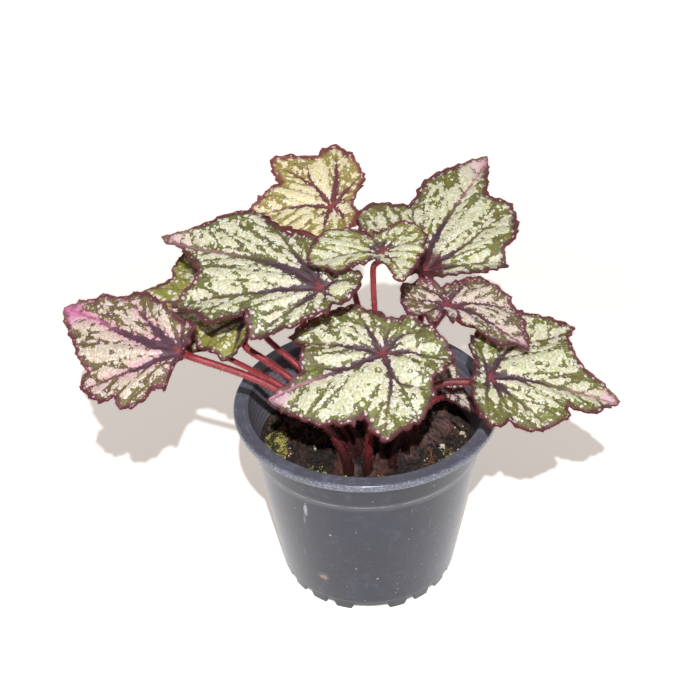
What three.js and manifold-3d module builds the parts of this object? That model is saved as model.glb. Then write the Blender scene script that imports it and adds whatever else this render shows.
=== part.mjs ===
// A rex begonia growing in a round nursery pot. The pot is one moulded shell on sixteen short feet. The soil
// fills it to about two centimetres under the rim, and a creeping rhizome lies half sunk in the soil. Each
// leaf is a long stalk that rises from the rhizome and a thin lobed blade on its end.
// Millimetres, +Z up, the floor at z = 0. Every place is measured from the pot's axis, and the last lines
// move the plant so that the origin is the middle of its footprint.
import * as THREE from "three";
import { mergeVertices } from "three/addons/utils/BufferGeometryUtils.js";
import Module from "manifold-3d";

const wasm = await Module();
wasm.setup();

const GAP = 0.3; // the clearance that touching pieces keep
const DEGREE = Math.PI / 180;

// ---- the pot's driving sizes ----
const POT_HEIGHT = 92;
const FOOT_RADIUS = 40.5;
const WALL_RADIUS_AT_FLOOR = 41; // the outside of the wall, carried down to z = 0
const WALL_SLOPE = 0.15; // how much the radius grows for each millimetre of height
const WALL = 1.5;
const RIM_RADIUS = 60;
const RIM_DEPTH = 3.5;
const COLLAR_BOTTOM = 73;
const COLLAR_PROUD = 0.7;
const FOOT_HEIGHT = 3;
const POT_FLOOR_TOP = FOOT_HEIGHT + 1.6;
const POT_SIDES = 48;
const FEET_IN_A_GROUP = 4;
const FOOT_PITCH = 18; // degrees from one foot to the next in a group
const FOOT_ANGLE = 12; // degrees that one foot spans
const DRAIN_RING_RADIUS = 26;
const DRAIN_RADIUS = 4;
const DRAINS = 8;

// ---- the soil, the rhizome and the stalks ----
const SOIL_EDGE = 69; // height of the soil against the wall
const SOIL_CROWN = 4; // how much higher it stands in the middle
const STALK_RADIUS = 1.5;
const STALK_START = 71; // every stalk starts inside the rhizome at this height
const BLADE = 0.8; // thickness of a leaf blade
const NAVEL = 2; // how far a blade dips where its stalk meets it
const NAVEL_RADIUS = 8;

const wallRadius = (z) => WALL_RADIUS_AT_FLOOR + WALL_SLOPE * z;
const innerRadius = (z) => wallRadius(z) - WALL;

const material = (colour, roughness) =>
  new THREE.MeshStandardMaterial({ color: colour, roughness, metalness: 0 });

const PLASTIC = material(0x34373c, 0.5);
const POTTING_SOIL = material(0x33261b, 1);
const BARK = material(0x6d4a43, 0.8);
const RED_STALK = material(0xa02a38, 0.5);
const GREEN_LEAF = material(0x9fb07a, 0.45);
const PINK_LEAF = material(0xb98d99, 0.45);
const YELLOW_LEAF = material(0xc4b878, 0.45);
const MOSS = material(0x7c8c2a, 0.95);
const PERLITE = material(0xe9e5dc, 0.9);
const PAPER = material(0x9b7450, 0.85);

// ---- from a three.js geometry to a manifold solid and back ----

// The closed solid inside a geometry, with its faces turned outwards.
function solidOf(geometry) {
  const bare = new THREE.BufferGeometry();
  bare.setAttribute("position", geometry.getAttribute("position"));
  bare.setIndex(geometry.index);
  const merged = mergeVertices(bare, 1e-4);
  const corners = merged.index.array;
  const kept = [];
  for (let i = 0; i < corners.length; i += 3) {
    const [a, b, c] = [corners[i], corners[i + 1], corners[i + 2]];
    if (a !== b && b !== c && c !== a) kept.push(a, b, c);
  }
  const build = (triVerts) =>
    new wasm.Manifold(
      new wasm.Mesh({
        numProp: 3,
        vertProperties: merged.attributes.position.array,
        triVerts: new Uint32Array(triVerts),
      }),
    );
  const solid = build(kept);
  return solid.volume() < 0 ? build(kept.reverse()) : solid;
}

function geometryOf(solid) {
  const mesh = solid.getMesh();
  const geometry = new THREE.BufferGeometry();
  geometry.setAttribute("position", new THREE.BufferAttribute(mesh.vertProperties, 3));
  geometry.setIndex(new THREE.BufferAttribute(mesh.triVerts, 1));
  return geometry;
}

// The largest body of a solid that a cut may have left in several.
function largest(solid) {
  return solid.decompose().reduce((best, body) => (body.volume() > best.volume() ? body : best));
}

const begonia = new THREE.Group();

function addPiece(name, solid, finish) {
  const mesh = new THREE.Mesh(geometryOf(solid), finish);
  mesh.name = name;
  begonia.add(mesh);
}

// A profile of [radius, height] points turned about the Z axis.
function turned(profile, sides) {
  const points = profile.map(([radius, height]) => new THREE.Vector2(radius, height));
  return new THREE.LatheGeometry(points, sides).rotateX(Math.PI / 2);
}

// ---- the pot ----

function potSolid() {
  const collarTop = POT_HEIGHT - RIM_DEPTH;
  const lip = 0.7; // how far the rim's corners are rounded back
  const rimInside = innerRadius(POT_HEIGHT);
  const profile = [
    [0, FOOT_HEIGHT],
    [FOOT_RADIUS - 4.5, FOOT_HEIGHT],
    [FOOT_RADIUS - 3, 0],
    [FOOT_RADIUS, 0],
    [FOOT_RADIUS + 0.4, 5],
    [wallRadius(5.6), 5.6],
    [wallRadius(COLLAR_BOTTOM), COLLAR_BOTTOM],
    [wallRadius(COLLAR_BOTTOM) + COLLAR_PROUD, COLLAR_BOTTOM + 0.7],
    [wallRadius(collarTop) + COLLAR_PROUD, collarTop],
    [RIM_RADIUS - lip, collarTop],
    [RIM_RADIUS, collarTop + lip],
    [RIM_RADIUS, POT_HEIGHT - lip],
    [RIM_RADIUS - lip, POT_HEIGHT],
    [rimInside + lip, POT_HEIGHT],
    [rimInside, POT_HEIGHT - lip],
    [innerRadius(POT_FLOOR_TOP), POT_FLOOR_TOP],
    [0, POT_FLOOR_TOP],
  ];
  const cutters = [];
  const notch = (middle, span) => {
    const width = 2 * FOOT_RADIUS * Math.sin((span / 2) * DEGREE);
    const box = new THREE.BoxGeometry(width, 12, 2 * (FOOT_HEIGHT - 0.2));
    box.translate(0, -FOOT_RADIUS, 0).rotateZ(middle * DEGREE);
    cutters.push(solidOf(box));
  };
  const wide = 90 - FOOT_PITCH * (FEET_IN_A_GROUP - 1) - FOOT_ANGLE;
  for (let quarter = 0; quarter < 360; quarter += 90) {
    notch(quarter, wide);
    for (let k = 0; k < FEET_IN_A_GROUP - 1; k++) {
      notch(quarter + 45 + (k - 1) * FOOT_PITCH, FOOT_PITCH - FOOT_ANGLE);
    }
  }
  const drain = (x, y) => {
    const hole = new THREE.CylinderGeometry(DRAIN_RADIUS, DRAIN_RADIUS, 6, 12).rotateX(Math.PI / 2);
    cutters.push(solidOf(hole.translate(x, y, FOOT_HEIGHT)));
  };
  drain(0, 0);
  for (let k = 0; k < DRAINS; k++) {
    const angle = (k / DRAINS) * 2 * Math.PI;
    drain(DRAIN_RING_RADIUS * Math.cos(angle), DRAIN_RING_RADIUS * Math.sin(angle));
  }
  return wasm.Manifold.difference([solidOf(turned(profile, POT_SIDES)), ...cutters]);
}

addPiece("pot", potSolid(), PLASTIC);

// ---- the rhizome: knobbly lumps along a line, [x, y, z, radius] ----
const RHIZOME = [
  [-8, -26, 70, 8],
  [1, -24, 70, 8.5],
  [10, -21, 70, 8.5],
  [18, -15, 70, 7.5],
  [25, -9, 70, 7],
  [30, -2, 71, 7],
  [36, 7, 71, 6],
];

function rhizomeSolid(extra) {
  const lumps = RHIZOME.map(([x, y, z, radius]) =>
    solidOf(new THREE.IcosahedronGeometry(radius + extra, 1).translate(x, y, z)),
  );
  return wasm.Manifold.union(lumps);
}

addPiece("rhizome", rhizomeSolid(0), BARK);
const aroundRhizome = rhizomeSolid(GAP);

// ---- the leaves ----
// junction: where the stalk meets the blade. lean: the way the blade's face tips, as the compass angle from
// +X and the tilt from level. heading: the compass angle of the midrib. droop: how far the blade falls at
// 60 mm from the junction. outline: the tips of the lobes and the notches between them, each an angle
// clockwise from the midrib seen from above and a distance. base and stalk: where the stalk leaves the
// rhizome, and the points it passes.
const LEAVES = [
  {
    name: "far_left",
    finish: PINK_LEAF,
    junction: [-80, -14, 133],
    lean: [-120, 30],
    heading: 148,
    droop: 2,
    outline: [
      [0, 65], [11, 51], [17, 44], [31, 36], [64, 15], [103, 12], [121, 5], [-114, 9], [-104, 19],
      [-90, 20], [-86, 29], [-74, 36], [-64, 34], [-62, 40], [-42, 47], [-34, 43], [-18, 50],
    ],
    base: [-9, -30],
    stalk: [[-17, -28, 98], [-38, -22, 115], [-51, -19, 121], [-75, -15, 129]],
  },
  {
    name: "big_left",
    finish: GREEN_LEAF,
    junction: [-18, -11, 161],
    lean: [-110, 25],
    heading: 150,
    droop: 5,
    outline: [
      [0, 84], [5, 73], [12, 66], [22, 59], [29, 52], [33, 39], [46, 28], [60, 24], [77, 16], [92, 8],
      [135, 18], [152, 20], [-177, 15], [-123, 14], [-82, 26], [-64, 37], [-46, 33], [-43, 51],
      [-36, 54], [-27, 66], [-17, 56], [-12, 57], [-3, 70],
    ],
    base: [3, -20],
    stalk: [[-2, -15, 97], [-15, -6, 110], [-25, 0, 122], [-26, -2, 140]],
  },
  {
    name: "under_left",
    finish: GREEN_LEAF,
    junction: [-48, 10, 136],
    lean: [-120, 20],
    heading: 159,
    droop: 6,
    outline: [
      [0, 65], [4, 59], [15, 48], [28, 59], [34, 54], [43, 32], [98, 12], [-172, 5], [-101, 15],
      [-88, 26], [-59, 29], [-27, 33], [-13, 55],
    ],
    base: [-7, -21],
    stalk: [[-16, -19, 99], [-34, -12, 115], [-43, -6, 119], [-53, 1, 124]],
  },
  {
    name: "top",
    finish: YELLOW_LEAF,
    junction: [-13, 40, 171],
    lean: [-90, 20],
    heading: 86,
    droop: 4,
    outline: [
      [0, 39], [13, 31], [37, 23], [49, 17], [84, 10], [110, 13], [136, 15], [172, 19], [-158, 25],
      [-131, 29], [-115, 32], [-96, 37], [-87, 33], [-62, 28], [-48, 40], [-41, 38], [-15, 31], [-8, 35],
    ],
    base: [8, -18],
    stalk: [[5, -4, 105], [-4, 18, 138], [-11, 34, 160]],
  },
  {
    name: "top_right",
    finish: GREEN_LEAF,
    junction: [26, 25, 146],
    lean: [-100, 21],
    heading: 62,
    droop: 5,
    outline: [
      [0, 79], [6, 64], [11, 53], [24, 57], [44, 47], [52, 38], [65, 38], [75, 25], [87, 16], [132, 5],
      [-89, 20], [-67, 45], [-53, 45], [-35, 40], [-27, 42], [-23, 50], [-12, 63], [-4, 73],
    ],
    base: [13, -17],
    stalk: [[18, -4, 104], [25, 12, 126], [27, 21, 138]],
  },
  {
    name: "centre",
    finish: GREEN_LEAF,
    junction: [8, 0, 171],
    lean: [-90, 10],
    heading: -160,
    droop: 4,
    outline: [
      [0, 29], [9, 32], [28, 30], [50, 27], [70, 20], [88, 10], [114, 14], [140, 22], [174, 22],
      [-148, 17], [-101, 20], [-87, 20], [-78, 11], [-35, 6], [-22, 14], [-17, 24], [-4, 27],
    ],
    base: [6, -24],
    stalk: [[5, -14, 105], [4.6, 3, 137], [4.2, 5, 151], [4.6, 3.5, 161]],
  },
  {
    name: "front",
    finish: GREEN_LEAF,
    junction: [7, -22, 134],
    lean: [-95, 25],
    heading: -163,
    droop: 7,
    outline: [
      [0, 52], [5, 40], [9, 36], [30, 34], [35, 42], [78, 28], [108, 20], [123, 16], [147, 22],
      [178, 25], [-153, 31], [-126, 25], [-117, 29], [-101, 34], [-83, 38], [-70, 41], [-53, 30],
      [-48, 36], [-30, 42], [-17, 47],
    ],
    base: [0, -29],
    stalk: [[1, -30, 95], [5, -26, 118]],
  },
  {
    name: "right_middle",
    finish: PINK_LEAF,
    junction: [37, 6, 140],
    lean: [-60, 18],
    heading: -31,
    droop: 7,
    outline: [
      [0, 41], [4, 35], [14, 31], [17, 25], [21, 22], [27, 17], [49, 14], [76, 7], [79, 16], [110, 16],
      [121, 20], [140, 21], [167, 22], [-164, 17], [-141, 10], [-108, 13], [-80, 24], [-56, 26],
      [-42, 29], [-30, 32], [-18, 35],
    ],
    base: [17, -19],
    stalk: [[22, -11, 104], [27, 0, 124], [33, 5, 132]],
  },
  {
    name: "right_low",
    finish: GREEN_LEAF,
    junction: [54, -18, 118],
    lean: [-70, 20],
    heading: -5,
    droop: 6,
    outline: [
      [0, 58], [10, 50], [14, 48], [17, 36], [27, 38], [44, 34], [53, 32], [69, 25], [79, 28], [98, 22],
      [128, 14], [-161, 8], [-120, 20], [-87, 37], [-56, 45], [-45, 53], [-37, 43], [-19, 42],
      [-12, 47],
    ],
    base: [11, -26],
    stalk: [[19, -21, 98], [30, -15, 110], [44, -14, 111], [52, -17, 112]],
  },
  {
    name: "young",
    finish: GREEN_LEAF,
    junction: [39, 0, 97],
    lean: [-60, 25],
    heading: -41,
    droop: 3,
    outline: [
      [0, 17], [15, 12], [33, 7], [79, 5], [107, 4], [135, 8], [-176, 11], [-159, 14], [-140, 15],
      [-122, 12], [-88, 7], [-42, 7], [-9, 11],
    ],
    base: [21, -12],
    stalk: [[24, -9, 90], [31, -4, 94]],
  },
  {
    name: "hidden_left",
    finish: GREEN_LEAF,
    junction: [-70, 8, 123],
    lean: [-120, 15],
    heading: 140,
    droop: 4,
    outline: [
      [0, 22], [14, 19], [37, 19], [60, 16], [94, 12], [149, 9], [-163, 8], [-133, 5], [-101, 9],
      [-60, 12], [-22, 15],
    ],
    base: [-11, -25],
    stalk: [[-18, -23, 96], [-36, -17, 113], [-50, -9, 117], [-62, -1, 119]],
  },
  {
    name: "hidden_back",
    finish: GREEN_LEAF,
    junction: [-36, 32, 131],
    lean: [120, 10],
    heading: 125,
    droop: 4,
    outline: [
      [0, 34], [14, 25], [37, 28], [60, 18], [94, 20], [149, 9], [-163, 6], [-133, 10], [-101, 20],
      [-60, 18], [-40, 26], [-16, 24],
    ],
    base: [-3, -20],
    stalk: [[-14, -15, 102], [-30, -9, 119], [-44, 4, 126], [-46, 18, 126]],
  },
];

// A blade's own directions: along its midrib, to the midrib's right, and out of its face.
function bladeFrame({ lean, heading }) {
  const [azimuth, tilt] = lean.map((angle) => angle * DEGREE);
  const out = new THREE.Vector3(
    Math.sin(tilt) * Math.cos(azimuth),
    Math.sin(tilt) * Math.sin(azimuth),
    Math.cos(tilt),
  );
  const level = new THREE.Vector3(Math.cos(heading * DEGREE), Math.sin(heading * DEGREE), 0);
  const along = level.clone();
  along.z = -(level.x * out.x + level.y * out.y) / out.z; // the heading, laid in the blade's plane
  along.normalize();
  return { along, right: along.clone().cross(out), out };
}

const bladeLift = (distance, droop) =>
  -NAVEL * Math.exp(-((distance / NAVEL_RADIUS) ** 2)) - droop * (distance / 60) ** 2;

// A thin lobed sheet of even thickness: rings of points from the junction out to the margin, twice over.
function bladeSolid(leaf) {
  const { along, right, out } = bladeFrame(leaf);
  const origin = new THREE.Vector3(...leaf.junction);
  const margin = [];
  leaf.outline.forEach(([angle, distance], k) => {
    const [nextAngle, nextDistance] = leaf.outline[(k + 1) % leaf.outline.length];
    const here = new THREE.Vector2(Math.cos(angle * DEGREE), Math.sin(angle * DEGREE));
    const next = new THREE.Vector2(Math.cos(nextAngle * DEGREE), Math.sin(nextAngle * DEGREE));
    here.multiplyScalar(distance);
    next.multiplyScalar(nextDistance);
    margin.push(here, here.clone().lerp(next, 0.5));
  });
  const shares = [0.3, 0.65, 1];
  const positions = [];
  const sheet = (side) => {
    const place = (flat) => {
      const lift = bladeLift(flat.length(), leaf.droop) + (side * BLADE) / 2;
      const point = origin.clone().addScaledVector(along, flat.x).addScaledVector(right, flat.y);
      positions.push(...point.addScaledVector(out, lift).toArray());
    };
    place(new THREE.Vector2(0, 0));
    shares.forEach((share) => margin.forEach((edge) => place(edge.clone().multiplyScalar(share))));
  };
  sheet(1);
  sheet(-1);
  const count = margin.length;
  const under = 1 + shares.length * count;
  const faces = [];
  for (let k = 0; k < count; k++) {
    const next = (k + 1) % count;
    faces.push(0, 1 + next, 1 + k, under, under + 1 + k, under + 1 + next);
    for (let ring = 1; ring < shares.length; ring++) {
      const inner = 1 + (ring - 1) * count;
      const outer = inner + count;
      faces.push(inner + k, inner + next, outer + next, inner + k, outer + next, outer + k);
      faces.push(under + inner + k, under + outer + next, under + inner + next);
      faces.push(under + inner + k, under + outer + k, under + outer + next);
    }
    const rim = 1 + (shares.length - 1) * count;
    faces.push(rim + k, rim + next, under + rim + next, rim + k, under + rim + next, under + rim + k);
  }
  const geometry = new THREE.BufferGeometry();
  geometry.setAttribute("position", new THREE.Float32BufferAttribute(positions, 3));
  geometry.setIndex(faces);
  return solidOf(geometry);
}

// A round stalk along a smooth curve, from inside the rhizome to just under the blade.
function stalkSolid(leaf, radius) {
  const { out } = bladeFrame(leaf);
  const junction = new THREE.Vector3(...leaf.junction);
  const end = junction.clone().addScaledVector(out, -(NAVEL + BLADE / 2 + GAP));
  const route = [
    new THREE.Vector3(...leaf.base, STALK_START),
    new THREE.Vector3(...leaf.base, STALK_START + 9),
    ...leaf.stalk.map((point) => new THREE.Vector3(...point)),
    end.clone().addScaledVector(out, -2.5),
    end,
  ];
  const section = new THREE.Shape().absarc(0, 0, radius, 0, 2 * Math.PI);
  const path = new THREE.CatmullRomCurve3(route, false, "centripetal");
  const steps = 2 * route.length;
  return solidOf(
    new THREE.ExtrudeGeometry(section, { steps, curveSegments: 4, extrudePath: path }),
  );
}

for (const leaf of LEAVES) {
  addPiece("blade_" + leaf.name, bladeSolid(leaf), leaf.finish);
  addPiece("stalk_" + leaf.name, largest(stalkSolid(leaf, STALK_RADIUS).subtract(aroundRhizome)), RED_STALK);
}
const aroundStalks = wasm.Manifold.union(LEAVES.map((leaf) => stalkSolid(leaf, STALK_RADIUS + GAP)));

// ---- the soil ----

// The height of the soil's uneven top. extra lifts it, to make the space that resting pieces keep clear of.
function soilTop(x, y, extra) {
  const share = Math.hypot(x, y) / innerRadius(SOIL_EDGE);
  const bumps = 0.7 * Math.sin(0.31 * x + 1) * Math.cos(0.27 * y) + 0.4 * Math.sin(0.8 * y + 0.5 * x);
  return SOIL_EDGE + SOIL_CROWN * (1 - share ** 4) + bumps + extra;
}

function soilSolid(extra) {
  const bottom = POT_FLOOR_TOP + GAP;
  const edge = innerRadius(SOIL_EDGE) - GAP + extra;
  const rings = [0.97, 0.85, 0.68, 0.5, 0.33, 0.16, 0].map((share) => [share * edge, SOIL_EDGE]);
  const geometry = turned(
    [[0, bottom], [innerRadius(bottom) - GAP, bottom], [edge, SOIL_EDGE], ...rings],
    40,
  );
  const points = geometry.getAttribute("position");
  for (let i = 0; i < points.count; i++) {
    if (points.getZ(i) > SOIL_EDGE - 1) {
      points.setZ(i, soilTop(points.getX(i), points.getY(i), extra));
    }
  }
  return solidOf(geometry);
}

addPiece("soil", largest(soilSolid(0).subtract(aroundRhizome).subtract(aroundStalks)), POTTING_SOIL);
const aroundSoil = soilSolid(GAP);

// ---- what lies on the soil: moss cushions, perlite grains and the papery scales at the stalks' feet ----
const clearOfAll = (solid) =>
  largest(solid.subtract(aroundSoil).subtract(aroundRhizome).subtract(aroundStalks));

// A squashed ball centred on the soil's surface, rounder with a higher detail.
function mound(x, y, [width, depth, height], detail) {
  const ball = new THREE.IcosahedronGeometry(1, detail).scale(width / 2, depth / 2, height);
  return solidOf(ball.translate(x, y, soilTop(x, y, 0)));
}

const MOSS_CUSHIONS = {
  moss_left: [-42, -6, [13, 19, 4]],
  moss_front_left: [-27, -29, [14, 12, 3]],
  moss_front: [-1, -44, [21, 9, 3]],
  moss_right: [37, -19, [9, 13, 3]],
  moss_back: [12, 34, [24, 15, 3.5]],
};
for (const [name, [x, y, size]] of Object.entries(MOSS_CUSHIONS)) {
  addPiece(name, clearOfAll(mound(x, y, size, 1)), MOSS);
}

const PERLITE_GRAINS = [
  [34, -12, 3.2],
  [44, -1, 2.6],
  [33, -26, 2.4],
  [-24, -10, 3],
  [-20, 18, 3.4],
  [20, 22, 2.8],
  [-2, 40, 2.6],
  [-38, 20, 3],
];
PERLITE_GRAINS.forEach(([x, y, size], k) => {
  addPiece("perlite_" + (k + 1), clearOfAll(mound(x, y, [size, 0.8 * size, 0.6 * size], 0)), PERLITE);
});

// A thin pointed scale that stands on the rhizome: its foot, the way it faces, its height and its width.
const SCALES = [
  { foot: [-13, -31], facing: -120, height: 13, width: 8 },
  { foot: [6, -31], facing: -80, height: 11, width: 8 },
  { foot: [22, -17], facing: -50, height: 12, width: 7 },
  { foot: [30, -2], facing: 30, height: 10, width: 7 },
];
SCALES.forEach(({ foot, facing, height, width }, k) => {
  const outline = new THREE.Shape();
  outline.moveTo(-width / 2, -4);
  outline.lineTo(width / 2, -4);
  outline.quadraticCurveTo(width / 2, height * 0.6, 0, height);
  outline.quadraticCurveTo(-width / 2, height * 0.6, -width / 2, -4);
  const sheet = new THREE.ExtrudeGeometry(outline, { depth: 0.7, bevelEnabled: false, curveSegments: 4 });
  sheet.rotateX(Math.PI / 2 - 0.25).rotateZ((facing + 90) * DEGREE);
  sheet.translate(...foot, soilTop(...foot, 2));
  addPiece("scale_" + (k + 1), clearOfAll(solidOf(sheet)), PAPER);
});

// ---- the frame: the origin goes to the middle of the footprint, on the floor ----
const footprint = new THREE.Box3().setFromObject(begonia);
const middle = footprint.getCenter(new THREE.Vector3());
begonia.position.set(-middle.x, -middle.y, 0);
const part = new THREE.Group();
part.add(begonia);

export default part;
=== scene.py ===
"""A rex begonia in a black nursery pot, seen from the photograph's side. Lengths are millimetres from the
pot's axis, with the floor at z = 0, and place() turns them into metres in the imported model's frame."""

import math

import bmesh
import bpy
import numpy as np
from mathutils import Matrix, Vector
from mathutils import noise as field
from mathutils.geometry import delaunay_2d_cdt


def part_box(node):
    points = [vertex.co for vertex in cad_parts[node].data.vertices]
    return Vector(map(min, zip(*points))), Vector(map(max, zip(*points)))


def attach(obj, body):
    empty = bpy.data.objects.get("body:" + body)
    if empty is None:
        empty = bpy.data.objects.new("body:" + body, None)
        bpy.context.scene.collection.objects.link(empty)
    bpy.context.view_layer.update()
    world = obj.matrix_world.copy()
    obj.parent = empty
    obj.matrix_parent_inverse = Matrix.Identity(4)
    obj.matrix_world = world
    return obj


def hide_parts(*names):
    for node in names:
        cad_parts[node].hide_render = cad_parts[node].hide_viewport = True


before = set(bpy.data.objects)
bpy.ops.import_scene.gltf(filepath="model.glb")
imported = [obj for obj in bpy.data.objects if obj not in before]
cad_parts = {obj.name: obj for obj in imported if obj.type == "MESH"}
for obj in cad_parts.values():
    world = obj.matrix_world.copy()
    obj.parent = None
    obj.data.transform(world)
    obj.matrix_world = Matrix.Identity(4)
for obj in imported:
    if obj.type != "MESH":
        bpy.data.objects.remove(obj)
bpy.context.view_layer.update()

POT_LOW, POT_HIGH = (np.array(corner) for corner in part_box("pot"))
AXIS = np.array([(POT_LOW[0] + POT_HIGH[0]) / 2, (POT_LOW[1] + POT_HIGH[1]) / 2, 0.0])
MM = 0.001
LIGHT = 1.55  # how much more light a level surface gets than one that shows its own colour

# ---- the pot's sizes, as in the CAD part ----
POT_HEIGHT = 92
FOOT_RADIUS = 40.5
WALL_RADIUS_AT_FLOOR = 41
WALL_SLOPE = 0.15
WALL = 1.5
RIM_RADIUS = 60
RIM_DEPTH = 3.5
RIM_CORNER = 0.9  # radius of the rim's rounded corners
COLLAR_BOTTOM = 73
COLLAR_PROUD = 0.7
FOOT_HEIGHT = 3
POT_FLOOR_RADIUS = FOOT_RADIUS - 4.5
POT_FLOOR_TOP = 4.6
DRAIN_RING_RADIUS = 26
DRAIN_RADIUS = 4
DRAINS = 8
SOIL_EDGE = 69
SOIL_CROWN = 4

# ---- the leaves' shared sizes ----
BLADE = 0.7  # thickness in the middle of a blade
BLADE_EDGE = 0.28  # thickness at its margin
NAVEL = 2  # depth of the dip above the stalk
NAVEL_RADIUS = 8
MARGIN_STEP = 0.55  # distance between a blade's points along its margin
BLADE_STEP = 0.85  # and over the rest of it
SHARP_TURN = 42  # a corner of the outline that turns through more degrees than this stays a point
BULGE = 14  # degrees by which the margin sets out from such a point outside the straight line
LARGE_TOOTH = 6.5  # length of the large teeth along the margin of a big blade
SMALL_TOOTH = 2
VEIN_END = 0.985  # where a main vein ends, as a share of the way to the margin
STALK_FOOT = 71  # height of a stalk's end inside the rhizome
STALK_RINGS = 72
STALK_SIDES = 20
STALK_HAIRS = 1100


def place(points):
    """Millimetres from the pot's axis as metres in the model's frame."""
    return np.asarray(points, dtype=float) * MM + AXIS


def smoothstep(low, high, value):
    share = np.clip((value - low) / (high - low), 0, 1)
    return share * share * (3 - 2 * share)


def srgb(red, green, blue):
    """A screen colour, 0 to 255, as a linear colour with alpha."""
    def linear(level):
        level /= 255
        return level / 12.92 if level <= 0.04045 else ((level + 0.055) / 1.055) ** 2.4
    return (linear(red), linear(green), linear(blue), 1.0)


def darker(colour, share):
    return tuple(share * level for level in colour[:3]) + (1.0,)


def seen(red, green, blue):
    """The colour of a surface that looks like that screen colour where all the lights fall on it."""
    return darker(srgb(red, green, blue), 1 / LIGHT)


def wall_radius(z):
    return WALL_RADIUS_AT_FLOOR + WALL_SLOPE * z


def inner_radius(z):
    return wall_radius(z) - WALL


# ---- meshes ----

def add_mesh(name, points, faces, materials, smooth=True, face_material=None, attributes=None):
    """A mesh object from millimetre points. attributes maps a name to one value or vector for each point."""
    mesh = bpy.data.meshes.new(name)
    points = place(points)
    faces = [np.asarray(group) for group in faces]
    sizes = np.concatenate([np.full(len(group), group.shape[1]) for group in faces])
    corners = np.concatenate([group.ravel() for group in faces])
    mesh.vertices.add(len(points))
    mesh.vertices.foreach_set("co", points.ravel())
    mesh.loops.add(len(corners))
    mesh.loops.foreach_set("vertex_index", corners.astype(np.int32))
    mesh.polygons.add(len(sizes))
    starts = np.concatenate([[0], np.cumsum(sizes)[:-1]])
    mesh.polygons.foreach_set("loop_start", starts.astype(np.int32))
    mesh.polygons.foreach_set("loop_total", sizes.astype(np.int32))
    mesh.polygons.foreach_set("use_smooth", np.full(len(sizes), smooth))
    if face_material is not None:
        mesh.polygons.foreach_set("material_index", np.asarray(face_material, dtype=np.int32))
    for key, values in (attributes or {}).items():
        values = np.asarray(values, dtype=np.float32)
        kind = "FLOAT" if values.ndim == 1 else "FLOAT_VECTOR"
        layer = mesh.attributes.new(key, kind, "POINT")
        layer.data.foreach_set("value" if values.ndim == 1 else "vector", values.ravel())
    for material in materials:
        mesh.materials.append(material)
    mesh.update()
    mesh.validate()
    thing = bpy.data.objects.new(name, mesh)
    bpy.context.scene.collection.objects.link(thing)
    return thing


def finish_piece(piece, slot, *nodes):
    """The piece rides on the plant's one body and stands for those CAD nodes. slot is not used."""
    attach(piece, "root")
    if nodes:
        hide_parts(*nodes)


def ring_faces(rings, sides):
    """Quads between rings of points, stored one ring after the other."""
    ring, side = np.meshgrid(np.arange(rings - 1), np.arange(sides), indexing="ij")
    a = ring * sides + side
    b = ring * sides + (side + 1) % sides
    return np.stack([a, b, b + sides, a + sides], axis=-1).reshape(-1, 4)


def unit(vectors):
    """Rows of vectors scaled to length 1."""
    return vectors / np.linalg.norm(vectors, axis=1)[:, None]


def run_along(path):
    """The distance along a path at each of its points."""
    return np.concatenate([[0], np.cumsum(np.linalg.norm(np.diff(path, axis=0), axis=1))])


def blend(t, start, end, a, b):
    """The point as far from a to b as t is from start to end."""
    return (end - t) / (end - start) * a + (t - start) / (end - start) * b


def smooth_path(points, count):
    """Evenly spaced points on a centripetal Catmull-Rom curve through the given ones."""
    points = np.asarray(points, dtype=float)
    chain = np.concatenate([[2 * points[0] - points[1]], points, [2 * points[-1] - points[-2]]])
    dense = []
    for p0, p1, p2, p3 in zip(chain, chain[1:], chain[2:], chain[3:]):
        t0 = 0
        t1 = t0 + np.linalg.norm(p1 - p0) ** 0.5
        t2 = t1 + np.linalg.norm(p2 - p1) ** 0.5
        t3 = t2 + np.linalg.norm(p3 - p2) ** 0.5
        t = np.linspace(t1, t2, 24, endpoint=False)[:, None]
        a1 = blend(t, t0, t1, p0, p1)
        a2 = blend(t, t1, t2, p1, p2)
        a3 = blend(t, t2, t3, p2, p3)
        dense.append(blend(t, t1, t2, blend(t, t0, t2, a1, a2), blend(t, t1, t3, a2, a3)))
    dense = np.concatenate(dense + [points[-1:]])
    run = run_along(dense)
    even = np.linspace(0, run[-1], count)
    return np.stack([np.interp(even, run, dense[:, k]) for k in range(3)], axis=1)


def tube(path, radii, sides, ripple=0.0):
    """Points and faces of a closed tube round a path, with a cap at each end."""
    tangent = unit(np.gradient(path, axis=0))
    turn = np.arange(sides) / sides * 2 * math.pi
    across = np.cross(tangent[0], [0.31, 0.95, 0.02])  # any direction that no path here sets out in
    rings = []
    for middle, along, radius in zip(path, tangent, radii):
        across = across - along * (across @ along)
        across /= np.linalg.norm(across)
        up = np.cross(along, across)
        reach = radius * (1 + ripple * np.cos(5 * turn))
        rings.append(middle + np.outer(np.cos(turn) * reach, across) + np.outer(np.sin(turn) * reach, up))
    points = np.concatenate(rings + [path[:1], path[-1:]])
    total = len(path) * sides
    last = total - sides
    k = np.arange(sides)
    onward = (k + 1) % sides
    start = np.stack([np.full(sides, total), onward, k], axis=1)
    end = np.stack([np.full(sides, total + 1), last + k, last + onward], axis=1)
    return points, [ring_faces(len(path), sides), np.concatenate([start, end])]


def triangulate(corners, edges, loops, kept):
    """Points, the triangles between them and the corners that each point stands for. kept is 0 for all
    triangles between the corners and 1 for those inside the loops."""
    corners = [Vector(corner) for corner in corners]
    points, _, triangles, sources, *_ = delaunay_2d_cdt(corners, edges, loops, kept, 1e-5)
    return np.array([tuple(point) for point in points]), np.array(triangles), sources


# ---- loose natural shapes ----

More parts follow.
